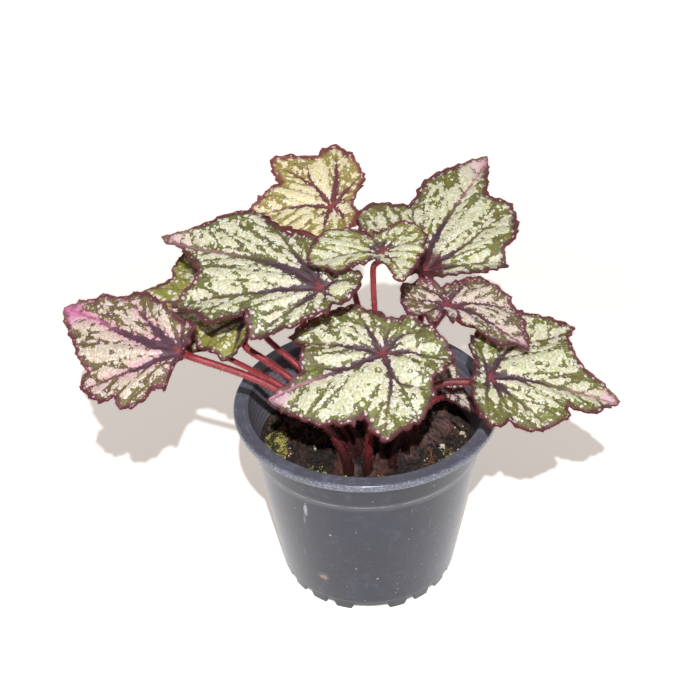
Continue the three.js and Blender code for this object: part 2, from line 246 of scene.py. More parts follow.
def unit_ball(detail):
    """Points and triangles of a ball of radius 1."""
    shape = bmesh.new()
    bmesh.ops.create_icosphere(shape, subdivisions=detail, radius=1)
    shape.verts.index_update()
    points = np.array([tuple(corner.co) for corner in shape.verts])
    triangles = np.array([[corner.index for corner in face.verts] for face in shape.faces])
    shape.free()
    return points, triangles


BALLS = {detail: unit_ball(detail) for detail in (1, 2, 5)}


def rough(points, scale, octaves=4):
    """Fractal noise about 0 at each point, with features about 1 / scale millimetres wide."""
    return np.array([field.fractal(Vector(point) * scale, 0.7, 2.0, octaves) for point in points])


def crumb(dice, size, detail, flatness=0.75):
    """An angular lump about that size, turned at random."""
    points, triangles = BALLS[detail]
    points = points * (1 + dice.uniform(-0.22, 0.22, (len(points), 1)))
    points = points * [1, dice.uniform(0.6, 1), flatness * dice.uniform(0.7, 1)] * (size / 2)
    basis, _ = np.linalg.qr(dice.normal(size=(3, 3)))
    return points @ basis.T, triangles


class Heap:
    """Many small closed shapes gathered into one mesh, each with a tint of its own."""

    def __init__(self):
        self.points, self.faces, self.tints = [], {}, []
        self.count = 0

    def add(self, points, groups, tint):
        """Adds a shape. groups holds its faces, an array for each number of corners."""
        for group in groups:
            self.faces.setdefault(group.shape[1], []).append(group + self.count)
        self.points.append(points)
        self.tints.append(np.broadcast_to(tint, len(points)))
        self.count += len(points)

    def build(self, name, material, slot, *nodes, smooth=True):
        """Makes the heap one piece that stands for those CAD nodes."""
        points = np.concatenate(self.points)
        faces = [np.concatenate(groups) for groups in self.faces.values()]
        tint = np.concatenate(self.tints)
        piece = add_mesh(name, points, faces, [material], smooth, attributes=dict(tint=tint))
        finish_piece(piece, slot, *nodes)


def hairs(roots, directions, lengths, radius):
    """Thin three-sided spikes, as points and faces."""
    directions = unit(directions)
    across = unit(np.cross(directions, [0.3, 0.2, 0.93]))
    beside = np.cross(directions, across)
    thirds = (0, 2.094, 4.189)  # of a turn
    corners = [roots + radius * (math.cos(turn) * across + math.sin(turn) * beside) for turn in thirds]
    points = np.stack([*corners, roots + directions * lengths[:, None]], axis=1).reshape(-1, 3)
    first = np.arange(len(roots))[:, None, None] * 4
    pattern = np.array([[0, 1, 3], [1, 2, 3], [2, 0, 3], [0, 2, 1]])
    return points, [(first + pattern).reshape(-1, 3)]


# ---- materials ----

class Flow:
    """A number or vector on its way through a material, with the usual arithmetic. A tuple is a vector."""

    def __init__(self, nodes, socket):
        self.nodes = nodes
        self.socket = socket

    def __add__(self, other):
        return self.nodes.math("ADD", self, other)

    def __sub__(self, other):
        return self.nodes.math("SUBTRACT", self, other)

    def __rsub__(self, other):
        return self.nodes.math("SUBTRACT", other, self)

    def __mul__(self, other):
        return self.nodes.math("MULTIPLY", self, other)

    __radd__ = __add__
    __rmul__ = __mul__

    def rise(self, low, high):
        """0 below low, 1 above high, and smooth between."""
        limits = {"Value": self, "From Min": low, "From Max": high}
        return self.nodes.made("ShaderNodeMapRange", "Result", limits, interpolation_type="SMOOTHSTEP")

    def fall(self, low, high):
        """1 below low, 0 above high, and smooth between."""
        return 1.0 - self.rise(low, high)


class Nodes:
    """A material, with short names for the shader nodes that the materials here are made of."""

    def __init__(self, name):
        self.material = bpy.data.materials.new(name)
        self.material.use_nodes = True
        self.tree = self.material.node_tree
        self.shader = self.tree.nodes["Principled BSDF"]

    def feed(self, socket, value):
        if isinstance(value, Flow):
            self.tree.links.new(value.socket, socket)
        else:
            socket.default_value = value

    def made(self, kind, output, inputs, **settings):
        """The output of a new node with those settings and those values on its inputs."""
        node = self.tree.nodes.new(kind)
        for key, value in settings.items():
            setattr(node, key, value)
        for key, value in inputs.items():
            self.feed(node.inputs[key], value)
        return Flow(self, node.outputs[output])

    def set(self, **inputs):
        """Feeds the surface shader: an underscore in a name stands for a space."""
        for key, value in inputs.items():
            self.feed(self.shader.inputs[key.replace("_", " ")], value)

    def attribute(self, name, output="Fac"):
        return self.made("ShaderNodeAttribute", output, {}, attribute_name=name)

    def position(self):
        return self.made("ShaderNodeNewGeometry", "Position", {})

    def math(self, operation, a, b):
        """One step of arithmetic, on vectors where b is one."""
        vector = isinstance(b, tuple) or (isinstance(b, Flow) and b.socket.type == "VECTOR")
        kind = "ShaderNodeVectorMath" if vector else "ShaderNodeMath"
        return self.made(kind, 0, {0: a, 1: b}, operation=operation)

    def least(self, a, b):
        return self.math("MINIMUM", a, b)

    def most(self, a, b):
        return self.math("MAXIMUM", a, b)

    def far(self, vector, point):
        """The distance from a point."""
        return self.made("ShaderNodeVectorMath", "Value", {0: vector, 1: point}, operation="DISTANCE")

    def parts(self, vector):
        """The three numbers of a vector or a colour."""
        first = self.made("ShaderNodeSeparateXYZ", 0, {0: vector})
        return [Flow(self, output) for output in first.socket.node.outputs]

    def mix(self, share, a, b):
        """The colour at that share of the way from a to b: 0, 6, 7 and 2 are the node's colour sockets."""
        return self.made("ShaderNodeMix", 2, {0: share, 6: a, 7: b}, data_type="RGBA")

    def coats(self, ground, *coats):
        """A colour with coats over it, each laid on as a share and a colour, the lowest first."""
        for share, colour in coats:
            ground = self.mix(share, ground, colour)
        return ground

    def noise(self, vector, scale, detail=3.0, rough=0.5, output="Fac"):
        inputs = dict(Vector=vector, Scale=scale, Detail=detail, Roughness=rough)
        return self.made("ShaderNodeTexNoise", output, inputs)

    def ripple(self, vector, scale, detail=3.0, rough=0.5):
        """Noise about 0."""
        return self.noise(vector, scale, detail, rough) - 0.5

    def swirled(self, vector, scale, reach):
        """The vector with noise of that reach added to its x and y."""
        return vector + (self.noise(vector, scale, 2, output="Color") - (0.5, 0.5, 0.5)) * (reach, reach, 0.0)

    def cells(self, vector, scale, output="Distance", feature="F1"):
        return self.made("ShaderNodeTexVoronoi", output, dict(Vector=vector, Scale=scale), feature=feature)

    def draws(self, vector, scale):
        """Three random numbers for each cell."""
        return self.parts(self.cells(vector, scale, "Color"))

    def bump(self, height, strength, distance):
        inputs = dict(Height=height, Strength=strength, Distance=distance * MM)
        return self.made("ShaderNodeBump", "Normal", inputs)


SPECKS = 0.52  # how many of a blade's pale specks there are in a millimetre
SALT = 1.25  # the same for the fine specks between them
GRANULES = 1.05  # and for the bright grains within the silver

# The colours of a blade's upper side where the lights fall on it. dot and silver are the bright grains and
# the rest of the pale specks, blush their pink; green, lime, moss and rim are the ground between them; dusk
# and fuzz the dark star and its short hairs, core the middle of a vein, rim and edge the margin.
LEAF_COLOURS = {
    "leaf_green": dict(
        dot=(255, 255, 248), silver=(220, 223, 184), blush=(240, 200, 216), green=(120, 132, 64),
        lime=(162, 162, 72), moss=(106, 96, 60), dusk=(88, 68, 78), core=(84, 46, 56), rim=(98, 56, 66),
        edge=(112, 42, 54), fuzz=(150, 112, 120),
    ),
    "leaf_pink": dict(
        dot=(255, 252, 246), silver=(226, 216, 192), blush=(236, 150, 198), green=(132, 122, 74),
        lime=(150, 142, 76), moss=(110, 88, 66), dusk=(98, 68, 82), core=(100, 50, 66), rim=(106, 56, 72),
        edge=(112, 46, 62), fuzz=(158, 112, 132),
    ),
    "leaf_yellow": dict(
        dot=(255, 255, 242), silver=(244, 232, 184), blush=(240, 204, 200), green=(178, 168, 86),
        lime=(172, 166, 82), moss=(154, 138, 80), dusk=(118, 62, 72), core=(118, 56, 66), rim=(132, 66, 74),
        edge=(134, 56, 66), fuzz=(182, 118, 118),
    ),
}

# A blade lets yellow and red light through.
THIN_BLADE = dict(Subsurface_Weight=0.3, Subsurface_Radius=(1.0, 0.55, 0.06), Subsurface_Scale=2.0 * MM)


def blade_top_material(slot):
    tone = {key: seen(*value) for key, value in LEAF_COLOURS[slot].items()}
    n = Nodes(slot + "_top")
    flat = n.attribute("flat", "Vector")  # millimetres in the blade's own plane, each leaf far from the next
    band = n.attribute("band")  # distance from the dark band along the nearest main vein, below 0 inside it
    core = n.attribute("core")  # distance from the nearest main vein
    vein = n.attribute("vein")  # distance from the nearest side vein
    edge = n.attribute("edge")  # distance from the margin
    hub = n.attribute("hub")  # distance from the stalk
    dusk = n.attribute("dusk")  # 1 where veins and ground are dark, 0 where they are green
    pink = n.attribute("pink")  # how pink the specks are
    lime = n.attribute("lime")  # how yellow the green is
    tip = n.attribute("tip")  # 1 at the very tip of a blade with a pale tip
    warped = n.swirled(flat, 0.9, 0.8)
    fine = n.ripple(flat, 0.7, 4, 0.65)
    broad = n.ripple(flat, 0.13, 2)

    # The silver is made of round specks that touch where there is much of it. What decides a speck's size is
    # taken at its own middle, so the edges of the silver are scalloped.
    speck = n.cells(warped, SPECKS)
    spot = n.cells(warped, SPECKS, "Position")
    chance, kind, _ = n.draws(warped, SPECKS)
    wobble = n.ripple(spot, 0.5, 3, 0.6)
    drift = n.ripple(spot, 0.32, 2) * 4.5

    # how much silver there is: none on the dark bands, little near the margin, along the side veins and in a
    # net of narrow streams between them
    inland = (edge + wobble * 7.0).rise(1.0, 8.0)
    river_width = 0.4 + edge.fall(2.0, 16.0) * 0.8 + broad * 2.0
    river = (vein + drift + wobble * 2.0 - river_width).rise(-0.8, 1.2)
    river = n.most(river, n.noise(spot, 0.12, 2).rise(0.52, 0.66))
    to_stream = n.cells(n.swirled(spot, 0.2, 9.0), 0.12, feature="DISTANCE_TO_EDGE") * 8.0
    stream = (to_stream + wobble * 2.5).rise(-0.5, 1.1)
    stream = n.most(stream, n.noise(spot, 0.17, 2).rise(0.44, 0.58))
    clear = (band + fine * 3.0 + wobble * 3.0).rise(-0.8, 1.4)
    amount = river * stream * (0.4 + inland * 0.85) + broad * 0.4 + tip * 1.2
    amount = amount * clear * n.attribute("cover")

    # the specks themselves: wide ones where there is silver, a few lone ones anywhere, and fine ones between
    lone = kind.rise(0.62, 0.66) * (0.22 + chance * 0.26) * clear
    reach = n.most(amount * 1.1 - (1.0 - chance) * 0.26, lone)
    salt = warped + (3.1, 7.7, 0.0)
    rare = n.draws(salt, SALT)[0].rise(0.72, 0.76)
    salt_reach = (amount * 0.5 + 0.26) * n.most(rare, amount.rise(0.35, 0.7))
    salt_specks = (salt_reach - n.cells(salt, SALT)).rise(-0.05, 0.08) * clear
    silver = n.most((reach - speck).rise(-0.03, 0.05), salt_specks * 0.85)
    grain = n.noise(flat, 2.6, 3, 0.7)
    granule = n.cells(warped, GRANULES)
    lit = n.draws(warped, GRANULES)[0]
    bright = granule.fall(0.1, 0.6) * (0.3 + lit) + (grain - 0.5) * 1.6 + reach.fall(0.5, 0.9) * 0.4
    pit = granule.rise(0.5, 0.75) * grain.rise(0.4, 0.6)
    near_band = (band + fine * 3.0).fall(0.0, 3.4)
    heart = speck.fall(0.05, 0.25) * reach.fall(0.45, 0.7)
    flush = pink * (0.5 + near_band * 0.5) + chance.rise(0.4, 0.9) * pink * 0.5
    flush = flush + heart * (0.15 + edge.fall(3.0, 12.0) * 0.5) + tip * 0.8
    pale = n.coats(
        tone["silver"],
        (bright.rise(0.05, 0.75), tone["dot"]),
        (pit * 0.55, tone["lime"]),
        (n.least(flush, 1.0), tone["blush"]),
    )

    # the green ground, and the dark star along the veins
    ragged = (fine + grain).rise(0.3, 0.75)
    fuzz = n.noise(flat * (2.2, 3.4, 1.0), 1.0, 4, 0.8).rise(0.5, 0.72)
    dark = n.mix(ragged, tone["dusk"], darker(tone["dusk"], 0.55))
    dark = n.mix(fuzz * 0.5, dark, tone["fuzz"])
    shade = (dusk + fine * 0.9).rise(0.25, 0.8)
    mossy = (broad + fine).rise(-0.12, 0.25) * (1.0 - lime * 0.8)
    ruddy = n.noise(flat + (51.0, 9.0, 0.0), 0.35, 3).rise(0.45, 0.75)
    side_line = (vein + fine * 0.5).fall(0.05, 0.6)
    in_band = (band + fine * 2.2).fall(-0.6, 0.7)
    ground = n.coats(
        tone["green"],
        (lime, tone["lime"]),
        (mossy, tone["moss"]),
        (ruddy * (0.6 - lime * 0.4), tone["rim"]),
        (shade * 0.9, dark),
        (side_line * 0.7, n.mix(shade, tone["moss"], tone["core"])),
        (in_band * (0.35 + shade * 0.65), dark),
    )

    # the dark band of the margin, which keeps a few pink specks, then the veins, the deep red hollow of some
    # blades, painted partly as the shade in their funnel, and the red star where the stalk meets the blade
    rim = (edge + (fine * 4.6 + broad * 5.0)).fall(1.0, 2.8) * (1.0 - tip * 0.6)
    rim_reach = kind.rise(0.32, 0.36) * (0.24 + chance * 0.26)
    rim_speck = (rim_reach - speck).rise(-0.02, 0.06) * edge.rise(0.5, 1.2)
    line = (core + fine * 0.6).fall(0.1, 0.65)
    pink_line = n.most(line * (1.0 - shade) * pink.rise(0.45, 0.8), n.attribute("midline"))
    hollow = (hub + fine * 8.0).fall(9.0, 13.0) * n.attribute("hollow")
    star = n.most(line * hub.fall(1.5, 6.0), (hub + fine * 3.0).fall(0.4, 1.6))
    colour = n.coats(
        ground,
        (silver * (1.0 - rim), pale),
        (side_line * ((0.2 + shade * 0.3) * silver), ground),
        (rim * 0.95, n.mix(ragged, tone["rim"], darker(tone["rim"], 0.6))),
        (rim * rim_speck * 0.85, n.mix(0.8, tone["dot"], tone["blush"])),
        ((edge + fine * 0.5).fall(0.15, 0.5), tone["edge"]),
        (line * (0.4 + shade * 0.5), tone["core"]),
        (pink_line, n.mix(0.5, tone["blush"], srgb(190, 80, 140))),
        # painted shade in the funnel round the stalk, over its deep red
        (hollow * 0.9, seen(88, 36, 44)),
        (star * 0.75, seen(166, 76, 80)),
    )
    relief = vein.rise(0.0, 1.4) * 0.5 + granule.fall(0.1, 0.6) * 0.3 + silver * (1.0 - speck) * 0.3
    relief = relief + (grain * 0.3 + core.rise(0.0, 1.0) * 0.4)
    n.set(Base_Color=colour, Roughness=0.45 + grain * 0.2, Normal=n.bump(relief, 0.6, 0.5))
    n.set(Specular_IOR_Level=0.35, **THIN_BLADE)
    return n.material


def blade_under_material(slot):
    n = Nodes(slot + "_under")
    flat = n.attribute("flat", "Vector")
    core = n.attribute("core")
    vein = n.attribute("vein")
    fine = n.ripple(flat, 0.6, 4, 0.6)
    colour = n.coats(
        seen(126, 44, 50),
        (n.noise(flat, 0.3, 3).rise(0.45, 0.8), seen(122, 86, 50)),
        ((vein + fine * 0.6).fall(0.2, 0.9), seen(120, 34, 42)),
        ((core + fine * 0.8).fall(0.5, 1.5), seen(150, 44, 52)),
        (n.attribute("edge").fall(0.6, 2.4), seen(112, 38, 48)),
    )
    ridges = core.fall(0.0, 1.6) + vein.fall(0.0, 0.8) * 0.5
    n.set(Base_Color=colour, Roughness=0.55, Normal=n.bump(ridges + fine * 0.4, 0.6, 0.6), **THIN_BLADE)
    return n.material


def stalk_material():
    n = Nodes("stalk")
    along = n.attribute("along", "Vector")  # turn round the stalk, distance along it, a number for the leaf
    foot = n.attribute("foot")  # painted shade: 1 at the rhizome, 0 where the stalk comes out of the shade below the leaves
    streak = n.noise(along * (9.0, 0.12, 1.0), 1.0, 4, 0.6)
    freckle = n.noise(n.position(), 900.0, 2)
    colour = n.coats(
        seen(126, 26, 36),
        (streak.rise(0.35, 0.7), seen(176, 52, 60)),
        (freckle.rise(0.56, 0.7) * 0.4, seen(206, 120, 118)),
        # painted shade over the stalk's foot
        (foot * 0.95, seen(38, 13, 14)),
    )
    n.set(Base_Color=colour, Roughness=0.5, Normal=n.bump(streak + freckle * 0.6, 0.45, 0.3))
    n.set(Subsurface_Weight=0.12, Subsurface_Radius=(0.002, 0.0006, 0.0005))
    return n.material


def hair_material(name, dark, light):
    """Short fine hairs, some darker and some lighter."""
    n = Nodes(name)
    share = n.noise(n.position(), 700.0, 2).rise(0.4, 0.6)
    n.set(Base_Color=n.mix(share, seen(*dark), seen(*light)), Roughness=0.5)
    return n.material


def pot_material():
    n = Nodes("pot_plastic")
    position = n.position()
    wall = n.attribute("wall", "Vector")  # millimetres round the wall from the front, up, and from the axis
    _, height, radius = n.parts(wall)
    inside = n.attribute("inside")
    scuff = n.noise(position, 160.0, 6, 0.75)
    rim = height.rise(87.8, 89.2)
    outer = radius.rise(RIM_RADIUS - 1.6, RIM_RADIUS - 0.3)
    streaks = n.noise(wall * (0.12, 2.4, 2.4), 1.0, 5, 0.7)
    worn = (streaks * 0.5 + scuff * 0.5).rise(0.5, 0.6)
    # pale chips on the rim's outer corner, together with the corner's painted highlight
    chips_and_highlight = n.noise(wall * (0.8, 2.0, 2.0), 1.0, 4, 0.75).rise(0.54, 0.61)
    colour = n.coats(
        seen(2, 5, 16),
        (n.noise(position, 26.0, 4, 0.6).rise(0.3, 0.75), seen(22, 28, 44)),
        (scuff.rise(0.5, 0.75) * 0.5, seen(64, 68, 84)),
        # painted light: the pot's inside is painted pale grey for the light it catches
        (inside, seen(154, 146, 150)),
        (rim * 0.8, seen(114, 112, 118)),
        (worn * (rim * 0.4 + 0.06), seen(156, 160, 176)),
        (chips_and_highlight * (rim * outer) * 0.75, seen(210, 214, 224)),
    )
    # specks of dust and of soil: how many fit in a metre, how rare they are and their colour
    for fineness, rarity, tone in ((260.0, 0.62, (180, 182, 186)), (130.0, 0.82, (206, 176, 140))):
        dot = n.cells(position, fineness).fall(0.05, 0.1)
        dot = dot * n.draws(position, fineness)[1].rise(rarity, rarity + 0.04)
        colour = n.mix(dot * 0.85, colour, seen(*tone))

    def mark(middle, size):
        """1 within an uneven oval spot of that size in millimetres, 0 outside it."""
        moved = wall + (-middle[0], -middle[1], 0.0)
        reach = n.far(moved * (2 / size[0], 2 / size[1], 0.0), (0.0, 0.0, 0.0))
        return (reach + n.ripple(wall, 1.1, 3) * 1.6).fall(0.7, 1.1)

    drawn = n.noise(position * (700.0, 700.0, 40.0), 1.0, 2).rise(0.7, 0.74)
    collar_line = height.rise(COLLAR_BOTTOM + 0.1, COLLAR_BOTTOM + 0.5)
    collar_line = collar_line * height.fall(COLLAR_BOTTOM + 0.8, COLLAR_BOTTOM + 1.2)
    collar_line = collar_line * ((1.0 - inside) * n.noise(wall, 0.12, 3).rise(0.36, 0.5))
    # fine upright lines, a pale scrape and a brown spot on the left, and a pale broken line along the
    # collar's lower edge
    colour = n.coats(
        colour,
        (drawn * 0.25, seen(150, 152, 160)),
        (mark((-29.6, 64.5), (2.2, 8.0)) * 0.8, seen(196, 192, 186)),
        (mark((-30.6, 57.5), (1.4, 6.0)) * 0.5, seen(150, 148, 146)),
        (mark((-22.7, 20.5), (6.5, 5.5)) * 0.5, seen(96, 102, 118)),
        (mark((-22.2, 19.8), (3.6, 3.4)), seen(176, 128, 96)),
        (collar_line * 0.9, seen(150, 150, 150)),
    )
    relief = n.noise(position, 1400.0, 3, 0.7) * 0.5 + scuff * 0.8
    n.set(Base_Color=colour, Roughness=0.3 + scuff * 0.22, Normal=n.bump(relief, 0.3, 0.25))
    n.set(Specular_IOR_Level=0.3, Specular_Tint=(0.78, 0.84, 1.0, 1.0))
    n.set(Coat_Weight=0.8, Coat_Roughness=0.26, Coat_Tint=(0.8, 0.86, 1.0, 1.0))
    return n.material


def mottled_material(name, dark, light, scale, roughness, bump=0.6):
    """A rough natural stuff between two colours, darker or lighter by each bit's tint from 0 to 1."""
    n = Nodes(name)
    mottle = n.noise(n.position(), scale, 5, 0.65)
    share = ((mottle - 0.5) * 1.6 + n.attribute("tint")).rise(0.0, 1.0)
    colour = n.mix(share, seen(*dark), seen(*light))
    n.set(Base_Color=colour, Roughness=roughness, Normal=n.bump(mottle, bump, 0.6))
    return n.material


def floor_material():
    """A pale sheet with a faint glow of its own, as a table lit from below has, stronger far from the pot."""
    n = Nodes("pale_floor")
    position = n.position()
    away = n.far(position, tuple(AXIS)).rise(0.25, 0.6)
    n.set(
        Base_Color=n.mix(n.noise(position, 40.0, 4) * 0.4, srgb(240, 237, 234), srgb(235, 232, 228)),
        Emission_Color=n.mix(away, (0.33, 0.3, 0.27, 1.0), (0.9, 0.9, 0.9, 1.0)),
        Emission_Strength=1.0,
        Roughness=0.8,
    )
    return n.material


# ---- the leaves ----
# What a leaf is like unless it says otherwise.
USUAL_LEAF = dict(
    slot="leaf_green",
    curls=[],
    pink=(0.08, 0.3, 0.7),  # how pink its specks are: all over, near the main veins and at the tip
    lime=0.0,  # how yellow its green is
    cover=1.0,  # how much silver it has
    grain=1.0,  # how fine its specks are
    rim=1.0,  # how wide the dark band of its margin is
    bands=1.0,  # how wide the dark bands along its main veins are
    dusk=(0.15, 0.65),  # where the bands begin to turn green and where they are, from the stalk to the margin
    hollow=0.0,  # 1 where its middle is painted deep red: its own red and the painted shade of the funnel round its stalk
    shaded=0.42,  # how far up its stalk the painted shade at the foot reaches
)
# As in the CAD part: junction, lean, heading, droop, outline, base and stalk. ribs: the angles at which the
# main veins set out and end, the midrib first, and how far from the stalk a vein forks off another, if it
# does. curls: where the margin rolls up, as middle angle, half width in degrees, how much of the blade rolls,
# and through what angle.
LEAVES = [
    dict(
        name="far_left", slot="leaf_pink", junction=(-80, -14, 133), lean=(-120, 30), heading=148, droop=2,
        outline=[
            (0, 65), (11, 51), (17, 44), (31, 36), (64, 15), (103, 12), (121, 5), (-114, 9), (-104, 19),
            (-90, 20), (-86, 29), (-74, 36), (-64, 34), (-62, 40), (-42, 47), (-34, 43), (-18, 50),
        ],
        ribs=[(-11, 0), (-55, -46), (13, 20), (66, 69), (-105, -95)],
        pink=(0.08, 0.45, 1.0), rim=0.95, cover=1.15, bands=1.3, dusk=(0.3, 0.9),
        base=(-9, -30), stalk=[(-17, -28, 98), (-38, -22, 115), (-51, -19, 121), (-75, -15, 129)],
    ),
    dict(
        name="big_left", junction=(-18, -11, 161), lean=(-110, 25), heading=150, droop=5,
        outline=[
            (0, 84), (5, 73), (12, 66), (22, 59), (29, 52), (33, 39), (46, 28), (60, 24), (77, 16),
            (92, 8), (135, 18), (152, 20), (-177, 15), (-123, 14), (-82, 26), (-64, 37), (-46, 33),
            (-43, 51), (-36, 54), (-27, 66), (-17, 56), (-12, 57), (-3, 70),
        ],
        ribs=[(8, -1), (-30, -27), (-73, -65), (28, 30), (40, 64), (128, 143), (-140, -165)],
        curls=[(143, 24, 3.5, 110)], pink=(0.04, 0.2, 0.5), cover=1.15,
        base=(3, -20), stalk=[(-2, -15, 97), (-15, -6, 110), (-25, 0, 122), (-26, -2, 140)],
    ),
    dict(
        name="under_left", junction=(-48, 10, 136), lean=(-120, 20), heading=159, droop=6,
        outline=[
            (0, 65), (4, 59), (15, 48), (28, 59), (34, 54), (43, 32), (98, 12), (-172, 5), (-101, 15),
            (-88, 26), (-59, 29), (-27, 33), (-13, 55),
        ],
        # its yellow green and sparse silver are partly painted light: its shade, and the yellow light coming
        # through big_left
        ribs=[(5, -1), (-47, -45), (-62, -84), (28, 28), (70, 70)], curls=[(31, 14, 5, 130)], lime=1,
        pink=(0.0, 0.05, 0.2), cover=0.55, dusk=(0.5, 1.1),
        base=(-7, -21), stalk=[(-16, -19, 99), (-34, -12, 115), (-43, -6, 119), (-53, 1, 124)],
    ),
    dict(
        name="top", slot="leaf_yellow", junction=(-13, 40, 171), lean=(-90, 20), heading=86, droop=4,
        outline=[
            (0, 39), (13, 31), (37, 23), (49, 17), (84, 10), (110, 13), (136, 15), (172, 19), (-158, 25),
            (-131, 29), (-115, 32), (-96, 37), (-87, 33), (-62, 28), (-48, 40), (-41, 38), (-15, 31),
            (-8, 35),
        ],
        ribs=[(9, 1), (-34, -47), (-92, -99), (36, 34), (-160, -170), (116, 150), (-37, -27, 14)],
        curls=[(-138, 42, 5, 150)], cover=1.45, grain=1.2, rim=1.1, pink=(0.0, 0.15, 0.0), bands=1.3,
        dusk=(0.4, 1.0),
        base=(8, -18), stalk=[(5, -4, 105), (-4, 18, 138), (-11, 34, 160)],
    ),
    dict(
        name="top_right", junction=(26, 25, 146), lean=(-100, 21), heading=62, droop=5,
        outline=[
            (0, 79), (6, 64), (11, 53), (24, 57), (44, 47), (52, 38), (65, 38), (75, 25), (87, 16),
            (132, 5), (-89, 20), (-67, 45), (-53, 45), (-35, 40), (-27, 42), (-23, 50), (-12, 63), (-4, 73),
        ],
        ribs=[(-4, 1), (42, 27), (68, 60), (-34, -30), (-66, -62), (-92, -92)],
        pink=(0.03, 0.12, 0.65), lime=0.3, hollow=1, cover=1.6, rim=1.2,
        base=(13, -17), stalk=[(18, -4, 104), (25, 12, 126), (27, 21, 138)],
    ),
    dict(
        name="centre", junction=(8, 0, 171), lean=(-90, 10), heading=-160, droop=4,
        outline=[
            (0, 29), (9, 32), (28, 30), (50, 27), (70, 20), (88, 10), (114, 14), (140, 22), (174, 22),
            (-148, 17), (-101, 20), (-87, 20), (-78, 11), (-35, 6), (-22, 14), (-17, 24), (-4, 27),
        ],
        ribs=[(19, 10), (49, 62), (120, 124), (146, 150), (167, 180), (-106, -97), (100, 80)],
        lime=0.8, grain=1.3, cover=2.2, pink=(0.03, 0.05, 0.0), rim=0.8, bands=0.5, dusk=(0.1, 0.3),
        base=(6, -24), stalk=[(5, -14, 105), (4.6, 3, 137), (4.2, 5, 151), (4.6, 3.5, 161)],
    ),
    dict(
        name="front", junction=(7, -22, 134), lean=(-95, 25), heading=-163, droop=7,
        outline=[
            (0, 52), (5, 40), (9, 36), (30, 34), (35, 42), (78, 28), (108, 20), (123, 16), (147, 22),
            (178, 25), (-153, 31), (-126, 25), (-117, 29), (-101, 34), (-83, 38), (-70, 41), (-53, 30),
            (-48, 36), (-30, 42), (-17, 47),
        ],
        ribs=[
            (-9, 0), (35, 32), (84, 83), (124, 126), (153, 160), (-164, -151), (-92, -71),
            (-86, -114, 11), (-3, 12, 18),
        ],
        pink=(0.03, 0.25, 0.9), lime=0.15, cover=0.92, dusk=(0.3, 0.9),
        base=(0, -29), stalk=[(1, -30, 95), (5, -26, 118)],
    ),
    dict(
        name="right_middle", slot="leaf_pink", junction=(37, 6, 140), lean=(-60, 18), heading=-31, droop=7,
        outline=[
            (0, 41), (4, 35), (14, 31), (17, 25), (21, 22), (27, 17), (49, 14), (76, 7), (79, 16), (110, 16),
            (121, 20), (140, 21), (167, 22), (-164, 17), (-141, 10), (-108, 13), (-80, 24), (-56, 26),
            (-42, 29), (-30, 32), (-18, 35),
        ],
        ribs=[
            (-14, -2), (-39, -35), (-97, -87), (-131, -134), (-154, -177), (153, 146), (125, 110), (1, 32),
        ],
        curls=[(36, 20, 4, 130), (78, 10, 2.5, 100)], grain=1.6, cover=1.5, pink=(0.08, 0.15, 0.3),
        dusk=(0.5, 1.0),
        base=(17, -19), stalk=[(22, -11, 104), (27, 0, 124), (33, 5, 132)],
    ),
    dict(
        name="right_low", junction=(54, -18, 118), lean=(-70, 20), heading=-5, droop=6,
        outline=[
            (0, 58), (10, 50), (14, 48), (17, 36), (27, 38), (44, 34), (53, 32), (69, 25), (79, 28),
            (98, 22), (128, 14), (-161, 8), (-120, 20), (-87, 37), (-56, 45), (-45, 53), (-37, 43),
            (-19, 42), (-12, 47),
        ],
        ribs=[(0, 2), (-74, -44), (50, 40), (106, 90), (-116, -114), (66, 64)],
        # its stalk is painted dark nearly up to the blade, for the shade below the leaves
        pink=(0.04, 0.2, 0.6), lime=0.25, cover=1.1, shaded=1.3,
        base=(11, -26), stalk=[(19, -21, 98), (30, -15, 110), (44, -14, 111), (52, -17, 112)],
    ),
    dict(
        name="young", junction=(39, 0, 97), lean=(-60, 25), heading=-41, droop=3,
        outline=[
            (0, 17), (15, 12), (33, 7), (79, 5), (107, 4), (135, 8), (-176, 11), (-159, 14), (-140, 15),
            (-122, 12), (-88, 7), (-42, 7), (-9, 11),
        ],
        ribs=[(0, 0), (-60, -60), (-140, -140), (-176, -176), (60, 60)], grain=1.5, cover=2.2,
        rim=0.6, dusk=(0, 0.1),
        base=(21, -12), stalk=[(24, -9, 90), (31, -4, 94)],
    ),
    dict(
        name="hidden_left", junction=(-70, 8, 123), lean=(-120, 15), heading=140, droop=4,
        outline=[
            (0, 22), (14, 19), (37, 19), (60, 16), (94, 12), (149, 9), (-163, 8), (-133, 5), (-101, 9),
            (-60, 12), (-22, 15),
        ],
        ribs=[(0, 0), (40, 40), (92, 92), (150, 150), (-40, -40), (-98, -98)], lime=0.5,
        base=(-11, -25), stalk=[(-18, -23, 96), (-36, -17, 113), (-50, -9, 117), (-62, -1, 119)],
    ),
    dict(
        name="hidden_back", junction=(-36, 32, 131), lean=(120, 10), heading=125, droop=4,
        outline=[
            (0, 34), (14, 25), (37, 28), (60, 18), (94, 20), (149, 9), (-163, 6), (-133, 10), (-101, 20),
            (-60, 18), (-40, 26), (-16, 24),
        ],
        ribs=[(0, 0), (37, 37), (92, 92), (-40, -40), (-100, -100), (150, 150)],
        base=(-3, -20), stalk=[(-14, -15, 102), (-30, -9, 119), (-44, 4, 126), (-46, 18, 126)],
    ),
]


def polar(angle, distance):
    """A point of the blade's plane: x along the midrib, y to its right."""
    turn = np.radians(angle)
    return np.stack([distance * np.cos(turn), distance * np.sin(turn)], axis=-1)


